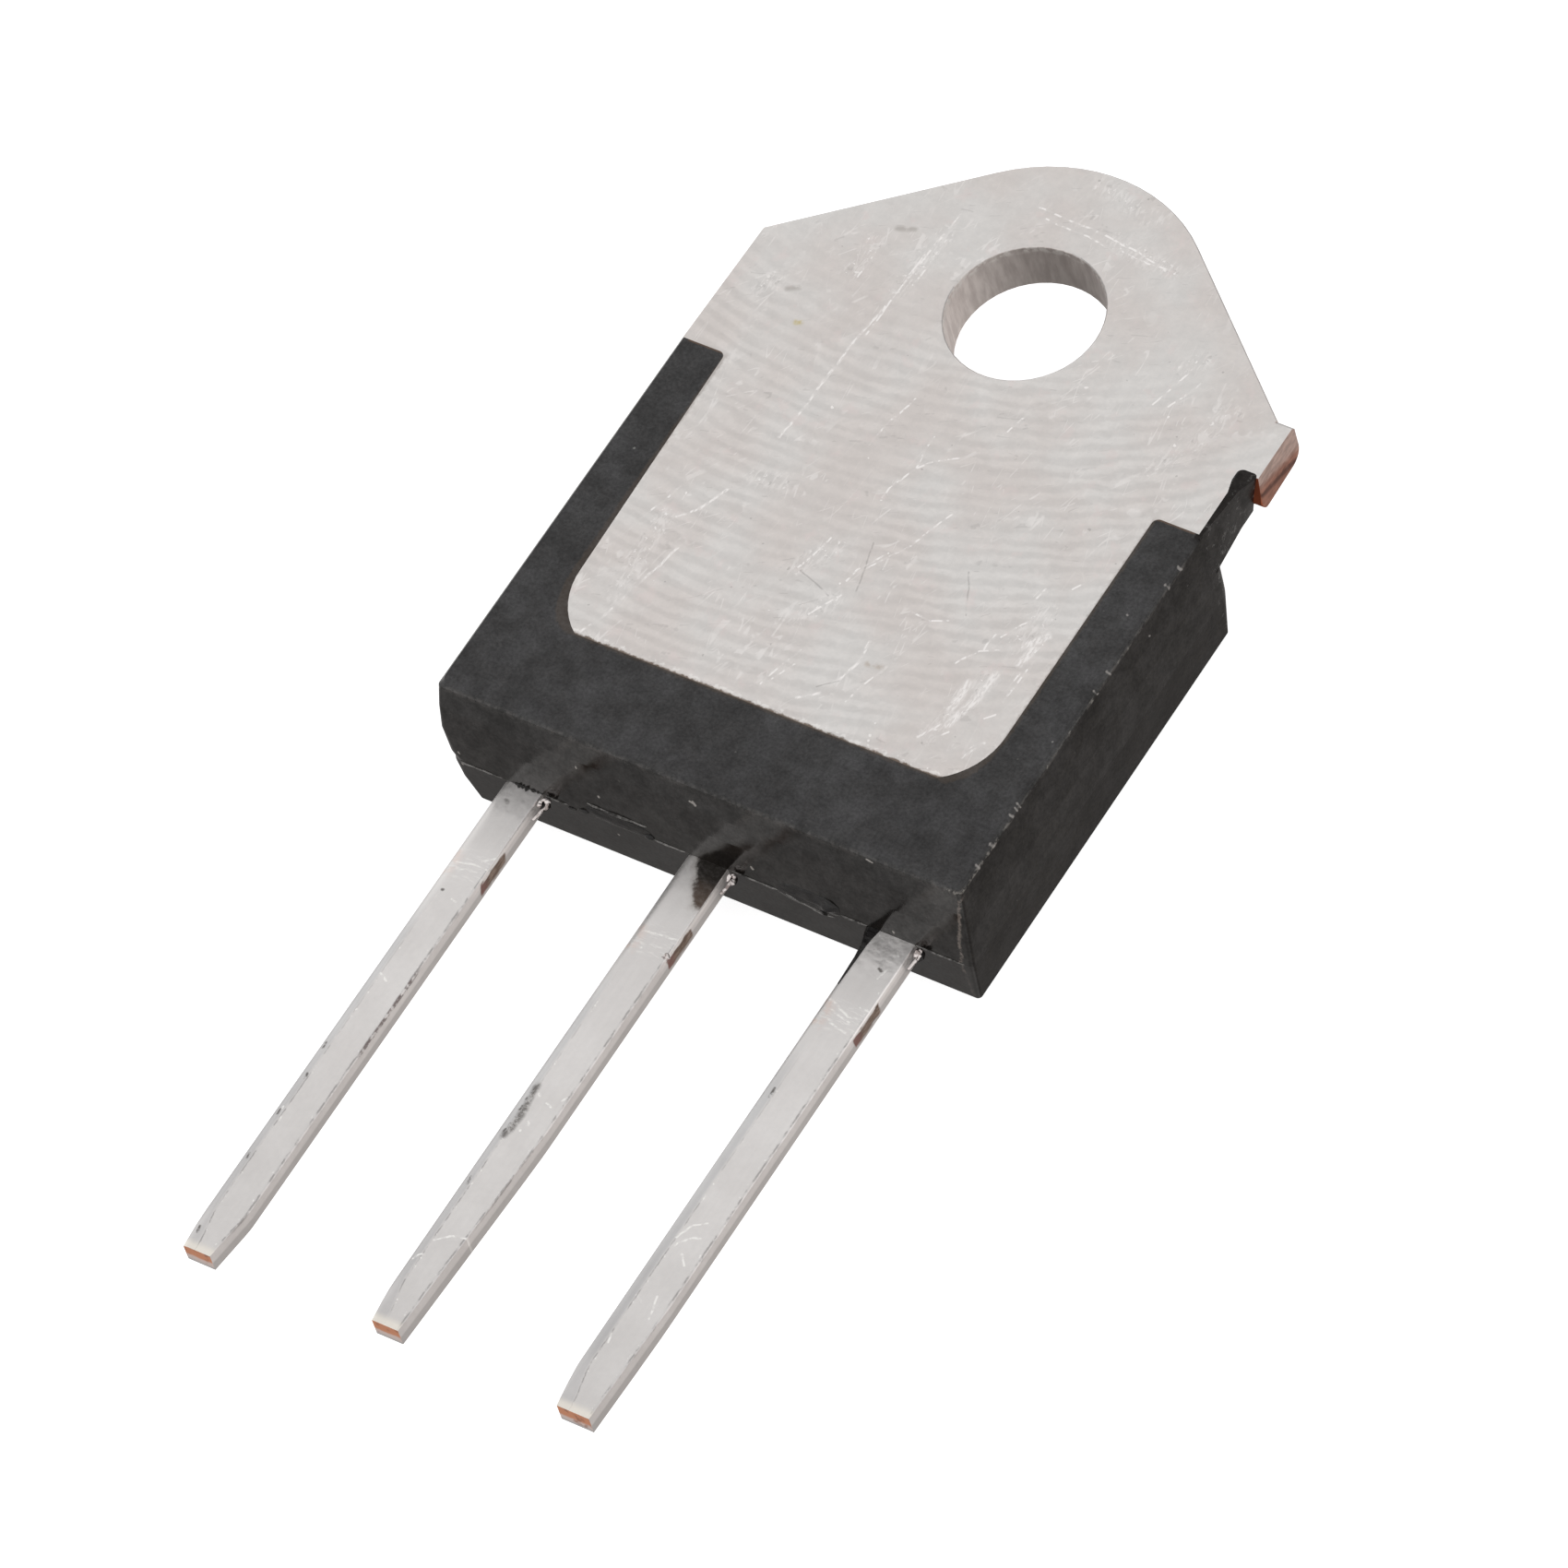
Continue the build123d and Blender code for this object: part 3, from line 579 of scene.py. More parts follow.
def edge_distances(g, story, tip_y, chatter):
    """How far in from its left and its right side, both following the tapered tip."""
    above_tip = g.minus(g.y, tip_y)
    taper, tip_half = story["taper"]
    waver = g.uneven(chatter, 0.05)
    left_reach = g.ease(above_tip, 0.0, 1.5, 0.4, story["half"])
    right_reach = g.ease(above_tip, 0.0, taper, tip_half, story["half"])
    return g.plus(g.plus(g.x, left_reach), waver), g.plus(g.minus(right_reach, g.x), waver)


def rolled_sides(g, story, left, right, chatter, low_part):
    """Strip along the left side darkened as painted shade of the rolled edge, dark beaded rims along both,
    and the scorched stretch.
    """
    # painted shade along the rolled left edge: bluish grey, lighter near the tip
    strip_shade = g.blend(g.ease(g.y, -7.0, -10.5), (0.83, 0.845, 0.86), (0.77, 0.78, 0.795))
    strip_shade = g.paint(strip_shade, (0.88, 0.885, 0.895), g.ease(g.y, -13.0, -14.2))
    strip = g.both(g.ease(left, 0.37, 0.27), low_part)
    g.colour = g.multiply(g.colour, g.blend(strip, NO_CHANGE, strip_shade))
    beaded = g.ease(g.grain(g.scaled(g.place, (1.0, 0.5, 1.0)), 4.5, 3.0, 0.7), 0.42, 0.58, 0.1, 1.0)
    left_rim = g.both(g.band(left, 0.335, 0.365, 0.015), low_part, g.ease(g.y, -7.0, -10.0, 0.4, 1.0))
    right_rim = g.both(g.band(right, 0.01, 0.055, 0.02), g.ease(g.y, -1.9, -3.0), g.ease(g.z, -0.10, -0.05))
    g.coat((0.22, 0.205, 0.20), g.either(left_rim, right_rim), beaded, 0.62)
    if story["burnt"]:
        first, last = story["burnt"]
        burnt = g.both(g.band(g.y, last, first, 0.25), g.ease(right, 0.06, 0.02), g.ease(g.z, -0.13, -0.06))
        g.coat((0.13, 0.095, 0.09), burnt, g.ease(chatter, 0.44, 0.56, 0.10, 0.85))


def lead_marks(g, story, drifted, brushed, left, right, chatter, low_part):
    """Bright scratches and painted highlights along the rims, then dark nicks and smudges."""
    broken = g.ease(g.grain(g.flat, 5.5, 3.0, 0.7), 0.40, 0.56, 0.1, 1.0)
    scratches = g.both(g.marks(drifted, story["bright"], 0.045, 0.2), broken)
    # painted highlights along the left and right rims
    left_rim_highlight = g.both(g.band(left, 0.36, 0.41, 0.02), low_part, g.ease(chatter, 0.59, 0.66), 0.9)
    right_rim_highlight = g.both(g.band(right, 0.08, 0.12, 0.02), g.ease(g.z, -0.10, -0.05),
                         g.ease(chatter, 0.61, 0.68), 0.8)
    rubbed = g.ease(g.grain(g.scaled(drifted, (1.0, 6.0, 1.0)), 2.4, 3.0, 0.7), 0.52, 0.66)
    rubbed = g.both(g.band(g.y, -3.0, -2.2, 0.25), rubbed, 0.6)
    g.coat(SCRAPED_AND_HIGHLIGHT, g.either(scratches, left_rim_highlight, right_rim_highlight, rubbed))

    nicks = g.ease(g.grain(g.place, 7.0, 3.0, 0.7), 0.38, 0.55, 0.0, 1.0)
    nicks = g.both(g.marks(drifted, story["dark"], 0.055, 0.2), nicks)
    width, strength, patches = story["smudge"]
    smudge = g.both(g.marks(drifted, patches, width, 0.1), g.ease(brushed, 0.36, 0.56, 0.15, 1.0), strength)
    half = story["half"]
    edge_spots = g.both(g.band(g.x, -half - 0.1, -half + 0.2, 0.05), speck_field(g, g.flat, 1.3, 0.12, 0.35))
    dark = g.either(g.both(g.either(nicks, smudge), 0.80), g.both(edge_spots, 0.5))
    g.coat((0.070, 0.060, 0.052), dark)


def stamped_side(g, story, side, burr, drifted):
    """Stamped side, darker below, with a painted highlight along its top near the root, and with the bare
    copper that the cut tie bar left on it.
    """
    # painted highlight: the side's upper strip near the root lightened
    side_top_highlight = g.both(g.ease(g.nx, 0.3, 0.6), g.ease(g.z, -0.20, -0.12), g.ease(g.y, -3.5, -2.7))
    g.coat((0.98, 0.94, 0.92), side_top_highlight, 0.8)
    sheared = g.blend(g.ease(g.z, -0.26, -0.36), (1.08, 1.06, 1.055), (0.80, 0.785, 0.78))
    g.colour = g.multiply(g.colour, g.blend(side, NO_CHANGE, sheared))
    upper, lower = story["copper"]
    wander = g.plus(g.y, g.both(g.grain(g.place, 2.0), 0.3))
    edge = g.plus(g.z, g.uneven(burr, 0.25))
    bare = g.both(g.ease(g.nx, 0.4, 0.7), g.band(wander, lower + 0.15, upper + 0.15, 0.04),
                  g.ease(edge, -0.50, -0.42), g.ease(edge, -0.09, -0.15))
    copper = g.blend(g.ease(burr, 0.4, 0.65), (0.15, 0.095, 0.065), (0.34, 0.25, 0.20))
    copper = g.paint(copper, (0.25, 0.125, 0.105), g.ease(g.y, lower + 0.45, lower + 0.1))
    g.coat(copper, bare)
    warm = g.both(g.band(g.y, -3.1, -2.1, 0.2), g.ease(g.x, -0.1, -0.5), g.ease(g.nz, 0.3, 0.8),
                  g.ease(g.grain(drifted, 2.3, 3.0), 0.48, 0.62))
    g.coat((0.75, 0.47, 0.36), warm, 0.35)


def trimmed_end(g, cut_end, tip_y):
    """Cut end of the lead: copper above, brightened as a painted highlight; a pale painted reflection of the
    table below it; grey at the bottom as painted shade; and a painted highlight along the back at the tip.
    """
    ragged_height = g.plus(g.z, g.both(g.grain(g.place, 3.0), 0.16))
    # copper above brightened as a painted highlight, and below it a pale painted reflection of the table
    tone = g.blend(g.ease(ragged_height, -0.30, -0.20), (0.72, 0.58, 0.53), (0.66, 0.27, 0.14))
    tone = g.paint(tone, (0.36, 0.14, 0.08), g.ease(g.grain(g.place, 4.0), 0.50, 0.68))
    # grey at the bottom: painted shade
    tone = g.paint(tone, (0.52, 0.49, 0.48), g.ease(g.z, -0.44, -0.56))
    g.coat(tone, cut_end)
    # painted highlight along the back at the tip
    lip = g.both(g.band(g.y, -15.2, tip_y + 0.20, 0.12), g.ease(g.nz, 0.5, 0.9))
    g.coat((0.98, 0.92, 0.82), lip, 0.7)


def root_smear(g, brushed):
    """Dark resin smeared over the right half of the lead's root, brown where it thins out."""
    fray = g.minus(g.grain(g.flat, 2.6, 5.0, 0.7), 0.5)
    shore = g.plus(g.plus(g.plus(g.x, g.both(g.y, 0.5)), 0.27), g.both(fray, 0.5))
    foot = g.plus(g.y, g.both(fray, 0.7))
    on_back = g.ease(g.nx, 0.9, 0.5)
    halo = g.both(g.ease(shore, -0.22, 0.05), g.ease(foot, -1.65, -1.25), on_back)
    g.coat((0.30, 0.25, 0.21), halo, 0.35)
    brown = g.blend(g.ease(foot, -0.30, -1.05), (0.017, 0.013, 0.010), (0.105, 0.074, 0.056))
    smear = g.both(g.ease(shore, -0.06, 0.10), g.ease(foot, -1.45, -1.15), on_back)
    g.coat(brown, smear, g.ease(brushed, 0.3, 0.6, 0.87, 0.97))


def make_lead_plating(node, story):
    """Tin plating of one lead, with the marks that its trimming left, and painted light and shade along its
    rims, sides and cut end.
    """
    made, g, shader = material(node + "_plating")
    low, high = [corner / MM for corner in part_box(node)]
    tip_y = low.y - END_Y
    g.locate(((low.x + high.x) / 2, END_Y, LEAD_BACK))
    drifted = g.shaken(g.flat, g.swirl(g.flat, 2.0, 2.0), (0.12, 0.2, 0.0))
    streak = g.grain(g.scaled(g.place, (6.0, 0.45, 6.0)), 1.3, 3.0, 0.6)
    grit = g.grain(g.place, 8.0, 3.0, 0.6)
    chatter = g.grain(g.place, 6.5, 3.0, 0.7)
    brushed = g.grain(g.scaled(drifted, (3.2, 5.0, 1.0)), 1.4, 5.0, 0.8)
    burr = g.grain(g.scaled(g.place, (1.0, 1.3, 5.0)), 2.5, 3.0, 0.7)
    side = g.ease(g.nx, 0.4, 0.75)
    low_part = g.ease(g.y, -3.0, -5.5)
    cut_end = g.both(g.ease(g.ny, -0.6, -0.85), g.ease(g.y, -14.6, -14.75))
    left, right = edge_distances(g, story, tip_y, chatter)

    g.colour = tin_tone(g, streak, grit)
    rolled_sides(g, story, left, right, chatter, low_part)
    lead_marks(g, story, drifted, brushed, left, right, chatter, low_part)
    stamped_side(g, story, side, burr, drifted)
    trimmed_end(g, cut_end, tip_y)
    if story["smeared"]:
        root_smear(g, brushed)
    height = g.plus(g.plus(g.both(streak, 0.25), g.both(grit, 0.35)), g.both(side, burr))
    lumps = g.both(g.grain(g.place, 1.6, 3.0), g.ease(g.y, -1.7, -0.5, 0.0, story["lumps"]))
    surface(g, shader, g.colour, g.ease(grit, 0.25, 0.75, 0.30, 0.42), g.plus(height, lumps), 0.006,
            g.ease(cut_end, 0.0, 1.0, 0.8, 0.1))
    return made


# ==== moulding

# pale specks on the end face, across and up
END_SPECKS = [
    [(-7.28, -2.19), (-7.26, -2.22)], [(-7.3, -2.64), (-7.28, -2.66)], [(-3.61, -0.95), (-3.6, -0.98)],
    [(-3.05, -1.69), (-3.04, -1.72)], [(-0.21, -0.53), (-0.10, -0.57)], [(-0.13, -0.52), (-0.05, -0.62)],
    [(1.4, -2.06), (1.42, -2.12)], [(5.48, -2.37), (5.49, -2.42)], [(-2.8, -3.15), (-2.79, -3.2)],
    [(4.95, -0.12), (5.1, -0.15)],
]
# nicks on the flank's upper edge, by their place across it and along the part
EDGE_NICKS = [
    [(7.56, -5.14), (7.60, -5.19)], [(7.55, -5.75), (7.57, -5.78)], [(7.55, -8.58), (7.60, -8.62)],
    [(7.57, -9.2), (7.58, -9.22)], [(7.56, -12.85), (7.58, -12.87)], [(7.58, -13.0), (7.6, -13.02)],
    [(7.56, -13.2), (7.6, -13.24)], [(7.55, -14.12), (7.57, -14.16)], [(7.57, -14.82), (7.59, -14.85)],
    [(7.15, -6.92), (7.17, -6.94)],
]


def filler_specks(g, end, frayed_noise):
    """Grains of filler that show as pale specks, and those that stand out on the end face."""
    fine = speck_field(g, g.place, 2.6, 0.10, 0.30)
    sparse = speck_field(g, g.moved(g.place, (17.0, 5.0, 3.0)), 0.9, 0.05, 0.16)
    chalk = g.ease(g.grain(g.place, 1.3, 3.0), 0.45, 0.62, 0.1, 1.0)
    g.coat((0.28, 0.27, 0.25), fine, chalk, 0.20)
    g.coat((0.42, 0.41, 0.39), sparse, 0.35)
    facade = g.shaken(g.pair(g.x, g.z), frayed_noise, (0.16, 0.16, 0.0))
    g.coat((0.42, 0.39, 0.36), g.marks(facade, END_SPECKS, 0.045, 0.3), end, 0.7)


def frame_seams(g, back):
    """Brown line at the rim of the window and along the frame's ends."""
    ragged_edge = g.uneven(g.grain(g.place, 4.0, 4.0, 0.75), 0.20)
    seam = g.both(g.ease(g.plus(window_gap(g), ragged_edge), 0.10, 0.02), back)
    g.coat((0.060, 0.038, 0.022), seam, 0.45)
    shore = g.plus(g.y, g.both(ragged_edge, 0.3))
    crest = g.both(g.band(shore, FRAME_TOP - 0.05, FRAME_TOP + 0.1, 0.02), g.ease(g.z, -0.15, -0.05),
                   g.ease(g.math("ABSOLUTE", g.x), 7.48, 7.40))
    g.coat((0.15, 0.080, 0.040), crest, 0.5)


def worn_edges(g, back, frayed_noise):
    """Pale line on the flank's upper edge, partly wear and partly painted highlight, with a dark painted
    shade line beside it; its nicks; a pale line down the front right corner; a painted highlight on the left
    side's upper edge; and a faint pale line along the end face's upper edge, partly wear and partly painted
    highlight.
    """
    broken = g.ease(g.grain(g.scaled(g.place, (2.0, 1.0, 2.0)), 2.6, 4.0, 0.75), 0.46, 0.56)
    strong = g.either(g.ease(g.grain(g.place, 2.9), 0.60, 0.70, 0.25, 1.0),
                      g.ease(g.y, -12.5, -14.0, 0.0, 0.9))
    right = g.both(g.ease(g.x, 7.2, 7.3), g.ease(g.y, -4.8, -5.1))
    # pale line on the flank's upper edge: partly wear, partly painted highlight
    worn = g.both(g.band(g.z, -0.11, -0.03, 0.02), right, broken, strong)
    g.coat((0.24, 0.22, 0.20), worn, 0.75)
    # painted shade: dark line beside it on the back
    shade = g.both(g.band(g.x, 7.50, 7.56, 0.03), back, right,
                   g.ease(g.grain(g.place, 1.9, 3.0), 0.40, 0.52))
    g.coat((0.006, 0.005, 0.005), shade, 0.8)
    unrolled = g.shaken(g.pair(g.plus(g.x, g.z), g.y), frayed_noise, (0.10, 0.16, 0.0))
    nicks = g.both(g.marks(unrolled, EDGE_NICKS, 0.045, 0.1), g.ease(g.x, 7.05, 7.1))
    g.coat((0.38, 0.35, 0.33), nicks, 0.60)

    upright = g.plus(g.minus(g.x, g.both(g.z, 0.085)), g.uneven(g.grain(g.place, 2.6, 4.0, 0.7), 0.26))
    ridge = g.both(g.band(upright, FLANK_X, FLANK_X + 0.08, 0.03), g.ease(g.y, -15.3, -15.5),
                   g.ease(g.z, -0.15, -0.35), g.ease(g.z, -3.4, -2.5, 0.3, 1.0),
                   g.ease(g.grain(g.place, 5.0, 3.0, 0.7), 0.42, 0.58, 0.12, 1.0))
    g.coat((0.24, 0.20, 0.175), ridge, 0.62)
    # painted highlight along the left side's upper edge
    upper_left_highlight = g.both(g.ease(g.nx, -0.15, -0.5), g.ease(g.nz, 0.05, 0.3), g.ease(g.z, -0.2, -0.1))
    g.coat((0.30, 0.29, 0.28), upper_left_highlight, 0.8)
    # faint pale line on the end face's upper edge: partly wear, partly painted highlight
    front_wear_and_highlight = g.both(g.band(g.y, -15.73, -15.66, 0.03), g.ease(g.z, -0.2, -0.12), broken)
    g.coat((0.20, 0.18, 0.17), front_wear_and_highlight, 0.16)


def make_epoxy():
    made, g, shader = material("epoxy")
    g.locate()
    cloud = g.grain(g.place, 0.33, 4.0, 0.6)
    grit = g.grain(g.place, 11.0, 3.0, 0.7)
    mist = g.grain(g.place, 2.2, 4.0, 0.65)
    smoke = g.grain(g.moved(g.place, (31.0, 7.0, 2.0)), 0.9, 5.0, 0.62)
    frayed_noise = g.swirl(g.place, 4.0, 3.0)
    back = g.ease(g.nz, 0.7, 0.95)
    end = g.ease(g.ny, -0.6, -0.9)
    below = g.ease(g.z, PARTING_Z + 0.03, PARTING_Z - 0.03)
    arm = g.both(g.ease(g.x, 7.44, 7.50), g.ease(g.y, -4.45, -4.15))
    flank = g.ease(g.math("ABSOLUTE", g.nx), 0.6, 0.9)
    side = g.either(flank, arm)

    # one tone for each face: the end face and the flanks, with the arm, darker than the back as painted
    # shade; the end face below the parting line 5% lighter as painted light
    g.colour = g.paint(g.blend(back, EPOXY_END_SHADED, EPOXY_BACK), EPOXY_FLANK_SHADED, side)
    g.colour = g.multiply(g.colour, g.ease(g.both(below, end), 0.0, 1.0, 1.0, 1.05))
    level = g.both(g.ease(cloud, 0.3, 0.7, 0.90, 1.10), g.ease(mist, 0.3, 0.7, 0.78, 1.22),
                   g.ease(grit, 0.25, 0.75, 0.78, 1.24), g.ease(smoke, 0.35, 0.65, 0.86, 1.14))
    g.colour = g.multiply(g.colour, level)
    bluish = g.multiply(g.colour, (0.90, 0.98, 1.16, 1.0))
    g.coat(bluish, g.ease(smoke, 0.42, 0.62, 0.0, 0.3))
    filler_specks(g, end, frayed_noise)
    frame_seams(g, back)
    worn_edges(g, back, frayed_noise)
    # the arm beside the lug is rough, with pale grains
    rubble = g.ease(g.grain(g.place, 3.6, 4.0, 0.75), 0.56, 0.66)
    g.coat((0.26, 0.25, 0.24), arm, rubble, 0.30)

    # the end face is smooth above the parting line, and the flanks have hardly any gloss
    rough = g.both(g.ease(back, 0.0, 1.0, 0.34, 0.60), g.ease(mist, 0.3, 0.7, 0.88, 1.15))
    polish = g.both(end, g.ease(g.z, PARTING_Z - 0.05, PARTING_Z + 0.05))
    rough = g.minus(rough, g.both(polish, 0.20))
    matt = g.plus(g.plus(g.both(side, 0.47), g.both(below, 0.10)), g.both(below, end, 0.24))
    g.feed(shader.inputs["Specular IOR Level"], g.both(g.minus(0.59, matt), level))
    height = g.plus(g.both(grit, g.ease(g.either(end, flank), 0.0, 1.0, 0.6, 0.12)),
                    g.both(mist, g.ease(end, 0.0, 1.0, 0.5, 0.1)))
    surface(g, shader, g.colour, rough, g.plus(height, g.both(arm, rubble, 1.6)), 0.007)
    return made


# ==== pieces inside

# each material's nodes, dark and light tone, metal share, roughness, and its grain's stretch and scale
INNER_FINISHES = {
    "rolled_copper": (("insulator_lower_metal", "insulator_upper_metal", "a1_clip"),
                      (0.60, 0.28, 0.17), (0.80, 0.44, 0.29), 1.0, 0.35, (1.0, 6.0, 1.0), 1.2),
    "solder_film": (("tab_solder", "pad_solder", "die_solder", "a1_die_solder", "a1_lead_solder"),
                    (0.42, 0.42, 0.43), (0.62, 0.62, 0.63), 1.0, 0.42, (1.0, 1.0, 1.0), 2.5),
    "fired_alumina": (("ceramic_insulator",),
                      (0.74, 0.72, 0.68), (0.86, 0.85, 0.82), 0.0, 0.55, (1.0, 1.0, 1.0), 5.0),
    "silicon": (("triac_die",),
                (0.045, 0.050, 0.065), (0.085, 0.090, 0.11), 0.6, 0.16, (1.0, 1.0, 1.0), 1.0),
    "drawn_aluminium": (("gate_wire",),
                        (0.66, 0.66, 0.67), (0.82, 0.82, 0.83), 1.0, 0.28, (1.0, 12.0, 12.0), 1.5),
}


def make_inner(name, dark, light, metallic, roughness, stretch, scale):
    """Finish of a piece sealed in the moulding: two tones in a stretched grain."""
    made, g, shader = material(name)
    place = g.on_part()
    grain = g.grain(g.scaled(place, stretch), scale, 4.0, 0.6)
    tone = g.plus(g.both(grain, 0.7), g.both(g.grain(place, 0.8), 0.3))
    rough = g.ease(grain, 0.3, 0.7, roughness * 0.8, roughness * 1.2)
    surface(g, shader, g.blend(g.ease(tone, 0.35, 0.65), dark, light), rough, grain, 0.004, metallic)
    return made


def dress_inner():
    for name, (nodes, *finish) in INNER_FINISHES.items():
        made = make_inner(name, *finish)
        for node in nodes:
            dress(node, made)


# ==== detail meshes

def add_piece(name, verts, faces, slot, made, smooth=False):
    """Closed mesh, given in millimetres, that rides on the part."""
    mesh = bpy.data.meshes.new(name)
    mesh.from_pydata([Vector(v) * MM for v in verts], [], faces)
    mesh.validate()
    mesh.update()
    mesh.materials.append(made)
    for polygon in mesh.polygons:
        polygon.use_smooth = smooth
    piece = bpy.data.objects.new(name, mesh)
    bpy.context.scene.collection.objects.link(piece)
    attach(piece, "root")


def skin_rings(rings):
    """Faces of a closed skin through rings of equal count, capped at both ends."""
    count = len(rings[0])
    verts = [point for ring in rings for point in ring]
    faces = [tuple(reversed(range(count)))]
    for row in range(len(rings) - 1):
        for k in range(count):
            a, b = row * count + k, row * count + (k + 1) % count
            faces.append((a, b, b + count, a + count))
    last = (len(rings) - 1) * count
    faces.append(tuple(range(last, last + count)))
    return verts, faces


def ragged(seed, along, rate):
    """Repeatable unevenness between about -1 and 1 at a place along an edge."""
    return noise.noise(Vector((along * rate, seed * 7.3, 0.5))) + 0.5 * noise.noise(
        Vector((along * rate * 2.7, seed * 3.1, 8.5)))


def end_face_y(z):
    """Place of the moulding's end face at a height, with its draft."""
    if z > PARTING_Z:
        share = z / PARTING_Z
        return END_BACK_Y - END_BULGE * share - END_CROWN * math.sin(math.pi * share)
    return END_Y + END_FRONT_DRAFT * (PARTING_Z - z) / (PARTING_Z - BODY_LOW.z)


def seam_bead(name, start, end, reach, height, seed, made, lift=(0.0, 0.0)):
    """Thin uneven lip of resin on the end face, raised above the parting line by the lift at each end."""
    rings = []
    steps = max(int(round((end - start) / 0.05)), 2)
    for k in range(steps + 1):
        x = start + (end - start) * k / steps
        fade = min(1.0, 8 * k / steps, 8 * (steps - k) / steps)
        out = max(0.015, reach * (0.8 + 0.5 * ragged(seed, x, 2.4))) * max(fade, 0.15)
        up = height * (0.8 + 0.35 * ragged(seed + 3, x, 3.1))
        z = PARTING_Z + lift[0] + (lift[1] - lift[0]) * k / steps
        wall = end_face_y(z)
        lip = z + 0.25 * up * ragged(seed + 5, x, 1.7)
        rings.append([(x, wall + 0.05, z + up / 2), (x, wall - out, lip + up * 0.25),
                      (x, wall - out, lip - up * 0.25), (x, wall + 0.05, z - up / 2)])
    add_piece(name, *skin_rings(rings), "moulding", made)


def gate_scar(name, left, right, low, high, reach, seed, made, lump=0.0):
    """Broken gate of the mould on the end face: a lens of fractured resin, thicker at its right end."""
    rows, cols = 14, 44
    width = cols + 1
    verts, faces = [], []
    for i in range(rows + 1):
        v = i / rows
        for j in range(cols + 1):
            u = j / cols
            x = left + (right - left) * u
            taper = math.sin(math.pi * min(u * 0.9 + 0.06, 1.0)) ** 0.55
            middle = (low + high) / 2 + 0.04 * ragged(seed + 1, x, 1.3)
            z = middle + (high - low) * (v - 0.5) * taper * (1 + 0.12 * ragged(seed + 2, x, 3.0))
            dome = max(0.0, 1 - abs(2 * v - 1) ** 2.5) * max(0.0, 1 - abs(2 * u - 1) ** 6)
            break_up = 0.55 + 0.5 * noise.noise(Vector((x * 3.5, z * 5.0, seed * 1.0)))
            shell = noise.noise(Vector((x * 1.2, z * 9.0, seed * 2.0)))
            out = reach * dome * (break_up + 0.35 * shell)
            out += lump * math.exp(-((x - right + 0.35) / 0.2) ** 2 - ((z - middle - 0.1) / 0.16) ** 2)
            edge = i in (0, rows) or j in (0, cols)
            verts.append((x, end_face_y(z) + (0.04 if edge else -0.012 - out), z))
    for i in range(rows):
        for a in range(i * width, i * width + cols):
            faces.append((a, a + 1, a + width + 1, a + width))
    root = len(verts)
    verts.append((left, END_Y + 0.25, PARTING_Z))
    rim = list(range(width)) + [(i + 1) * width - 1 for i in range(1, rows + 1)]
    rim += list(range(rows * width + cols - 1, rows * width - 1, -1))
    rim += [i * width for i in range(rows - 1, 0, -1)]
    faces.extend((b, a, root) for a, b in zip(rim, rim[1:] + rim[:1]))
    add_piece(name, verts, faces, "moulding", made)


def tube(path, radii, sides=10):
    """Rings of a round tube along a path, with one radius for each point."""
    rings = []
    normal = None
    for k, point in enumerate(path):
        ahead = path[min(k + 1, len(path) - 1)] - path[max(k - 1, 0)]
        axis = ahead.normalized()
        if normal is None:
            normal = axis.orthogonal().normalized()
        normal = (normal - axis * normal.dot(axis)).normalized()
        other = axis.cross(normal)
        rings.append([point + (normal * math.cos(a) + other * math.sin(a)) * radii[k]
                      for a in [2 * math.pi * j / sides for j in range(sides)]])
    return rings


def plating_curl(name, centre, size, tail, seed, made):
    """Curl of plating pushed up at a lead's root: an open loop with a short tail."""
    path, radii = [], []
    loop = 30
    for k in range(loop + 1):
        angle = math.radians(-70 + 290 * k / loop)
        swell = 1 + 0.30 * ragged(seed, k * 0.16, 1.0)
        point = Vector((size[0] * math.cos(angle), size[1] * math.sin(angle), 0.04 * math.sin(angle)))
        path.append(centre + point * swell)
        radii.append(max(0.025, 0.052 + 0.050 * ragged(seed + 4, k * 0.14, 1.0)))
    stem = path[0]
    tail_path, tail_radii = [], []
    for k in range(7, 0, -1):
        tail_path.append(stem.lerp(tail, k / 7) + Vector((0.015 * ragged(seed, k, 0.9), 0, 0)))
        tail_radii.append(0.03 + 0.016 * (7 - k) / 6)
    rings = tube(tail_path + path, tail_radii + radii)
    add_piece(name, *skin_rings(rings), "plated_leads", made, smooth=True)


def resin_sliver(name, points, widths, height, made):
    """Wedge of resin left along a lead's edge."""
    rings = []
    for k, ((x, y), width) in enumerate(zip(points, widths)):
        top = LEAD_BACK + height * (1 - 0.6 * k / len(points)) + 0.01 * ragged(4, y, 3.0)
        rings.append([(x - width / 2, y, LEAD_BACK - 0.30), (x - width / 2, y, top - 0.07),
                      (x - width / 4, y, top - 0.01), (x + width / 2, y, top - 0.03),
                      (x + width / 2, y, LEAD_BACK - 0.30)])
    add_piece(name, *skin_rings(rings), "moulding", made)


def resin_chips(name, teeth, made):
    """Row of broken resin flakes on a lead's back; each tooth has a place, half width and length."""
    rings = []
    first, last = teeth[0][0] - 0.12, teeth[-1][0] + 0.12
    steps = 70
    for k in range(steps + 1):
        x = first + (last - first) * k / steps
        out = max(length * max(0.0, 1 - abs(x - middle) / half) ** 0.7 for middle, half, length in teeth)
        out = 0.006 + out * (1 + 0.35 * ragged(2, x, 12.0))
        top = LEAD_BACK + 0.03
        rings.append([(x, END_Y + 0.06, top + 0.02), (x, END_Y - out, top),
                      (x, END_Y - out, LEAD_BACK - 0.01), (x, END_Y + 0.06, LEAD_BACK - 0.01)])
    add_piece(name, *skin_rings(rings), "moulding", made)


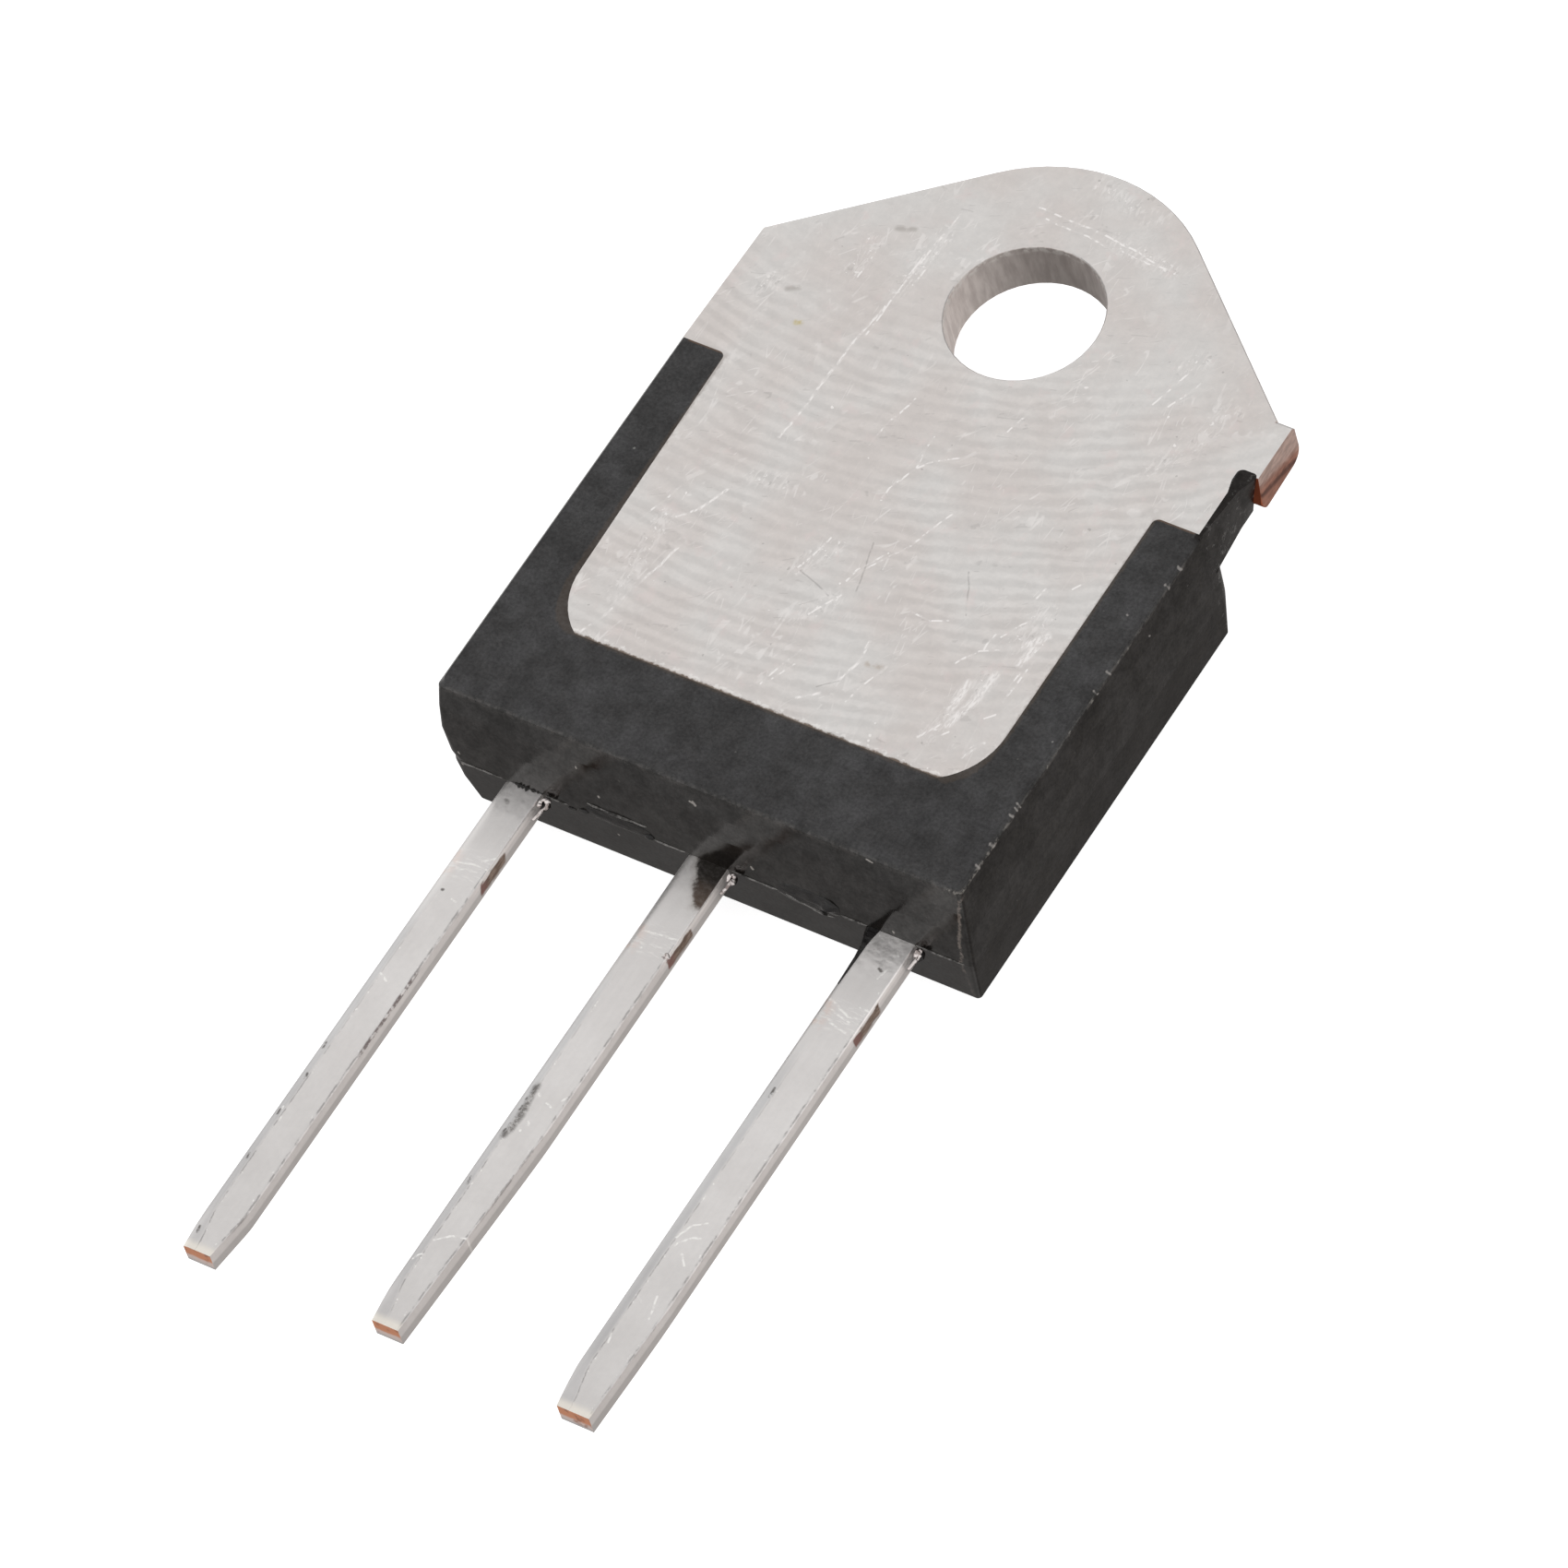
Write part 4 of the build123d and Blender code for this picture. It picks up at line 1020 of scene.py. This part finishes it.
def resin_lump(name, centre, reach, seed, made):
    """Small rounded lump of resin."""
    verts, faces = [], []
    rows, cols = 10, 16
    for i in range(rows + 1):
        polar = math.pi * i / rows
        for j in range(cols):
            turn = 2 * math.pi * j / cols
            ring = math.sin(polar)
            way = Vector((math.cos(polar), ring * math.cos(turn), ring * math.sin(turn)))
            swell = 1 + 0.25 * noise.noise(way * 2.1 + Vector((seed, 0, 0)))
            verts.append(centre + way * Vector(reach) * swell)
    for i in range(rows):
        for j in range(cols):
            a, b = i * cols + j, i * cols + (j + 1) % cols
            faces.append((a, b, b + cols, a + cols))
    add_piece(name, verts, faces, "moulding", made, smooth=True)


def add_details(epoxy):
    # mottled dark and pale: the pale tone stands in for the highlight along the lip, a painted highlight
    seam = make_grainy("seam_resin_highlit", (3.0, 4.0, 0.7), (0.40, 0.60), (0.03, 0.028, 0.026), (0.26, 0.25, 0.24),
                       (0.25, 0.5), 0.01)
    scar = make_scar_resin()
    spans = [("seam_bead_left", -7.3, -6.05), ("seam_bead_gate", -4.75, -4.1),
             ("seam_bead_middle", -1.55, -0.62), ("seam_bead_a2", 0.75, 2.1), ("seam_bead_a1", 3.95, 4.7),
             ("seam_bead_right", 6.1, 7.5)]
    for k, (name, start, end) in enumerate(spans):
        seam_bead(name, start, end, 0.035, 0.05, k + 1, seam)
    seam_bead("scar_lip_gate", -3.45, -1.7, 0.06, 0.05, 11, seam, lift=(0.38, 0.38))
    seam_bead("scar_hem", 2.25, 3.65, 0.075, 0.05, 14, seam, lift=(0.05, -0.34))
    gate_scar("gate_scar_left", -3.55, -1.6, -2.62, -2.18, 0.03, 3, scar)
    gate_scar("gate_scar_right", 2.05, 3.95, -2.88, -2.05, 0.05, 8, scar, lump=0.12)
    chips = [("seam_chip_1", (-4.0, -2.66), (0.12, 0.05, 0.05)),
             ("seam_chip_2", (-3.6, -2.52), (0.15, 0.06, 0.06)),
             ("seam_chip_3", (-1.66, -2.50), (0.13, 0.07, 0.09))]
    for k, (name, (x, z), reach) in enumerate(chips):
        resin_lump(name, Vector((x, end_face_y(z), z)), reach, k + 2.0, scar)
    teeth = [(-5.62, 0.06, 0.03), (-5.52, 0.06, 0.09), (-5.42, 0.05, 0.06), (-5.30, 0.06, 0.10),
             (-5.12, 0.08, 0.05), (-4.98, 0.04, 0.03)]
    resin_chips("resin_chips_gate", teeth, scar)
    resin_sliver("resin_sliver_a1", [(4.87, END_Y + 0.1), (4.88, END_Y - 0.15), (4.90, END_Y - 0.5),
                                     (4.92, END_Y - 0.9), (4.925, END_Y - 1.3), (4.92, END_Y - 1.75)],
                 [0.44, 0.36, 0.17, 0.12, 0.09, 0.02], 0.03, scar)
    tin = make_grainy("curl_tin", (5.0, 3.0, 0.6), (0.38, 0.58), (0.30, 0.25, 0.235), (0.82, 0.76, 0.74),
                      (0.18, 0.38), 0.012, 1.0)
    add_curls(epoxy, tin)


def add_curls(epoxy, tin):
    """Curl of plating with a lump of resin under it, at the right corner of each lead's root."""
    nick = Vector((0.60, -19.00, LEAD_BACK - 0.02))
    plating_curl("plating_curl_nick", nick, (0.045, 0.05), nick + Vector((-0.10, -0.04, 0.0)), 7.5, tin)
    curls = [("gate", -4.66, -16.40, (0.105, 0.125), -0.45), ("a2", 0.86, -16.37, (0.08, 0.11), -0.42),
             ("a1", 6.30, -16.36, (0.05, 0.11), -0.42)]
    for k, (name, x, y, size, drop) in enumerate(curls):
        centre = Vector((x, y, LEAD_BACK - 0.02))
        tail = Vector((x - 0.06, y + drop, LEAD_BACK - 0.12))
        plating_curl("plating_curl_" + name, centre, size, tail, k + 1.5, tin)
        under = centre + Vector((0.0, 0.04, -0.10))
        resin_lump("curl_resin_" + name, under, (0.12, 0.15, 0.07), k + 5.0, epoxy)


def make_grainy(name, grain, share, dark, light, rough, depth, metallic=0.0):
    """Two tones that follow one grain, as its roughness and its relief do."""
    made, g, shader = material(name)
    grit = g.grain(g.on_part(), *grain)
    surface(g, shader, g.blend(g.ease(grit, *share), dark, light), g.ease(grit, 0.3, 0.7, *rough), grit,
            depth, metallic)
    return made


def make_scar_resin():
    made, g, shader = material("scar_resin")
    g.locate()
    crack = g.grain(g.scaled(g.place, (1.0, 2.0, 3.0)), 2.2, 4.0, 0.7)
    colour = g.blend(g.ease(crack, 0.40, 0.62), (0.005, 0.004, 0.004), (0.018, 0.016, 0.015))
    hem = g.both(g.ease(g.z, -2.58, -2.75), g.ease(crack, 0.40, 0.55))
    shader.inputs["Specular IOR Level"].default_value = 0.4
    colour = g.paint(colour, (0.16, 0.15, 0.14), hem, 0.25)
    surface(g, shader, colour, g.ease(crack, 0.3, 0.7, 0.16, 0.36), crack, 0.02)
    return made


# ==== studio

def make_floor():
    """White table just under the part."""
    side = 4.0
    z = cad_box[0].z - 0.02 * MM
    corners = [(-side, -side, z), (side, -side, z), (side, side, z), (-side, side, z)]
    mesh = bpy.data.meshes.new("floor")
    mesh.from_pydata(corners, [], [(0, 1, 2, 3)])
    floor = bpy.data.objects.new("floor", mesh)
    bpy.context.scene.collection.objects.link(floor)
    made, _, shader = material("floor_white")
    for name, value in (("Base Color", (0.8, 0.8, 0.8, 1)), ("Roughness", 1.0), ("Specular IOR Level", 0.0),
                        ("Emission Color", (1, 1, 1, 1)), ("Emission Strength", 0.75)):
        shader.inputs[name].default_value = value
    mesh.materials.append(made)
    floor.visible_glossy = False
    floor.visible_diffuse = False


def make_world():
    """Soft light from all round, strong from above the horizon and weaker off the table."""
    world = bpy.data.worlds.new("studio")
    bpy.context.scene.world = world
    world.use_nodes = True
    g = Graph(world.node_tree)
    way = g.node("ShaderNodeTexCoord").outputs["Generated"]
    height = g.node("ShaderNodeMapRange", Value=g.split(way)[2], From_Min=-1.0, From_Max=1.0).outputs[0]
    ramp = g.node("ShaderNodeValToRGB", Fac=height)
    warm, plain = (1.0, 0.965, 0.94), (1.0, 1.0, 1.0)
    stops = [(0.0, 0.33, warm), (0.12, 0.32, warm), (0.20, 0.37, warm), (0.30, 0.55, plain),
             (0.45, 0.62, plain), (0.52, 1.05, plain), (0.65, 1.0, plain), (0.9, 0.80, plain),
             (1.0, 0.82, plain)]
    elements = ramp.color_ramp.elements
    elements.remove(elements[1])
    for position, level, tint in stops:
        element = elements.new(position) if position > 0 else elements[0]
        element.color = tuple(level * part for part in tint) + (1.0,)
    # the far sides of the table are lit more than the near ones
    under = g.ease(height, 0.48, 0.40)
    behind = g.ease(g.vector("DOT_PRODUCT", way, (-0.7, 0.7, 0.0)), 0.15, 0.5)
    beyond = g.ease(g.vector("DOT_PRODUCT", way, (0.7, 0.7, 0.0)), -0.6, 0.3)
    lift = g.plus(1.0, g.both(g.either(g.both(behind, 0.5), beyond), under, 0.7))
    shine = g.node("ShaderNodeBackground", Color=ramp.outputs[0], Strength=lift)
    g.node("ShaderNodeOutputWorld", Surface=shine.outputs[0])


def make_camera():
    data = bpy.data.cameras.new("camera")
    camera = bpy.data.objects.new("camera", data)
    bpy.context.scene.collection.objects.link(camera)
    back = (CAMERA_PLACE - CAMERA_AIM).normalized()
    right = Vector((0, 0, 1)).cross(back).normalized()
    upright = Matrix((right, back.cross(right), back)).transposed()
    turned = upright @ Matrix.Rotation(CAMERA_ROLL, 3, "Z")
    camera.matrix_world = Matrix.Translation(CAMERA_PLACE) @ turned.to_4x4()
    data.lens = CAMERA_LENS
    data.sensor_width = 36.0
    data.clip_start = 0.01
    data.clip_end = 20.0
    bpy.context.scene.camera = camera


epoxy = make_epoxy()
dress("heat_tab", make_plate_plating())
dress("moulded_body", epoxy)
for lead in LEADS:
    dress(lead, make_lead_plating(lead, LEAD_STORIES[lead]))
dress_inner()
add_details(epoxy)
make_floor()
make_world()
make_camera()
bpy.context.scene.view_settings.view_transform = "Standard"
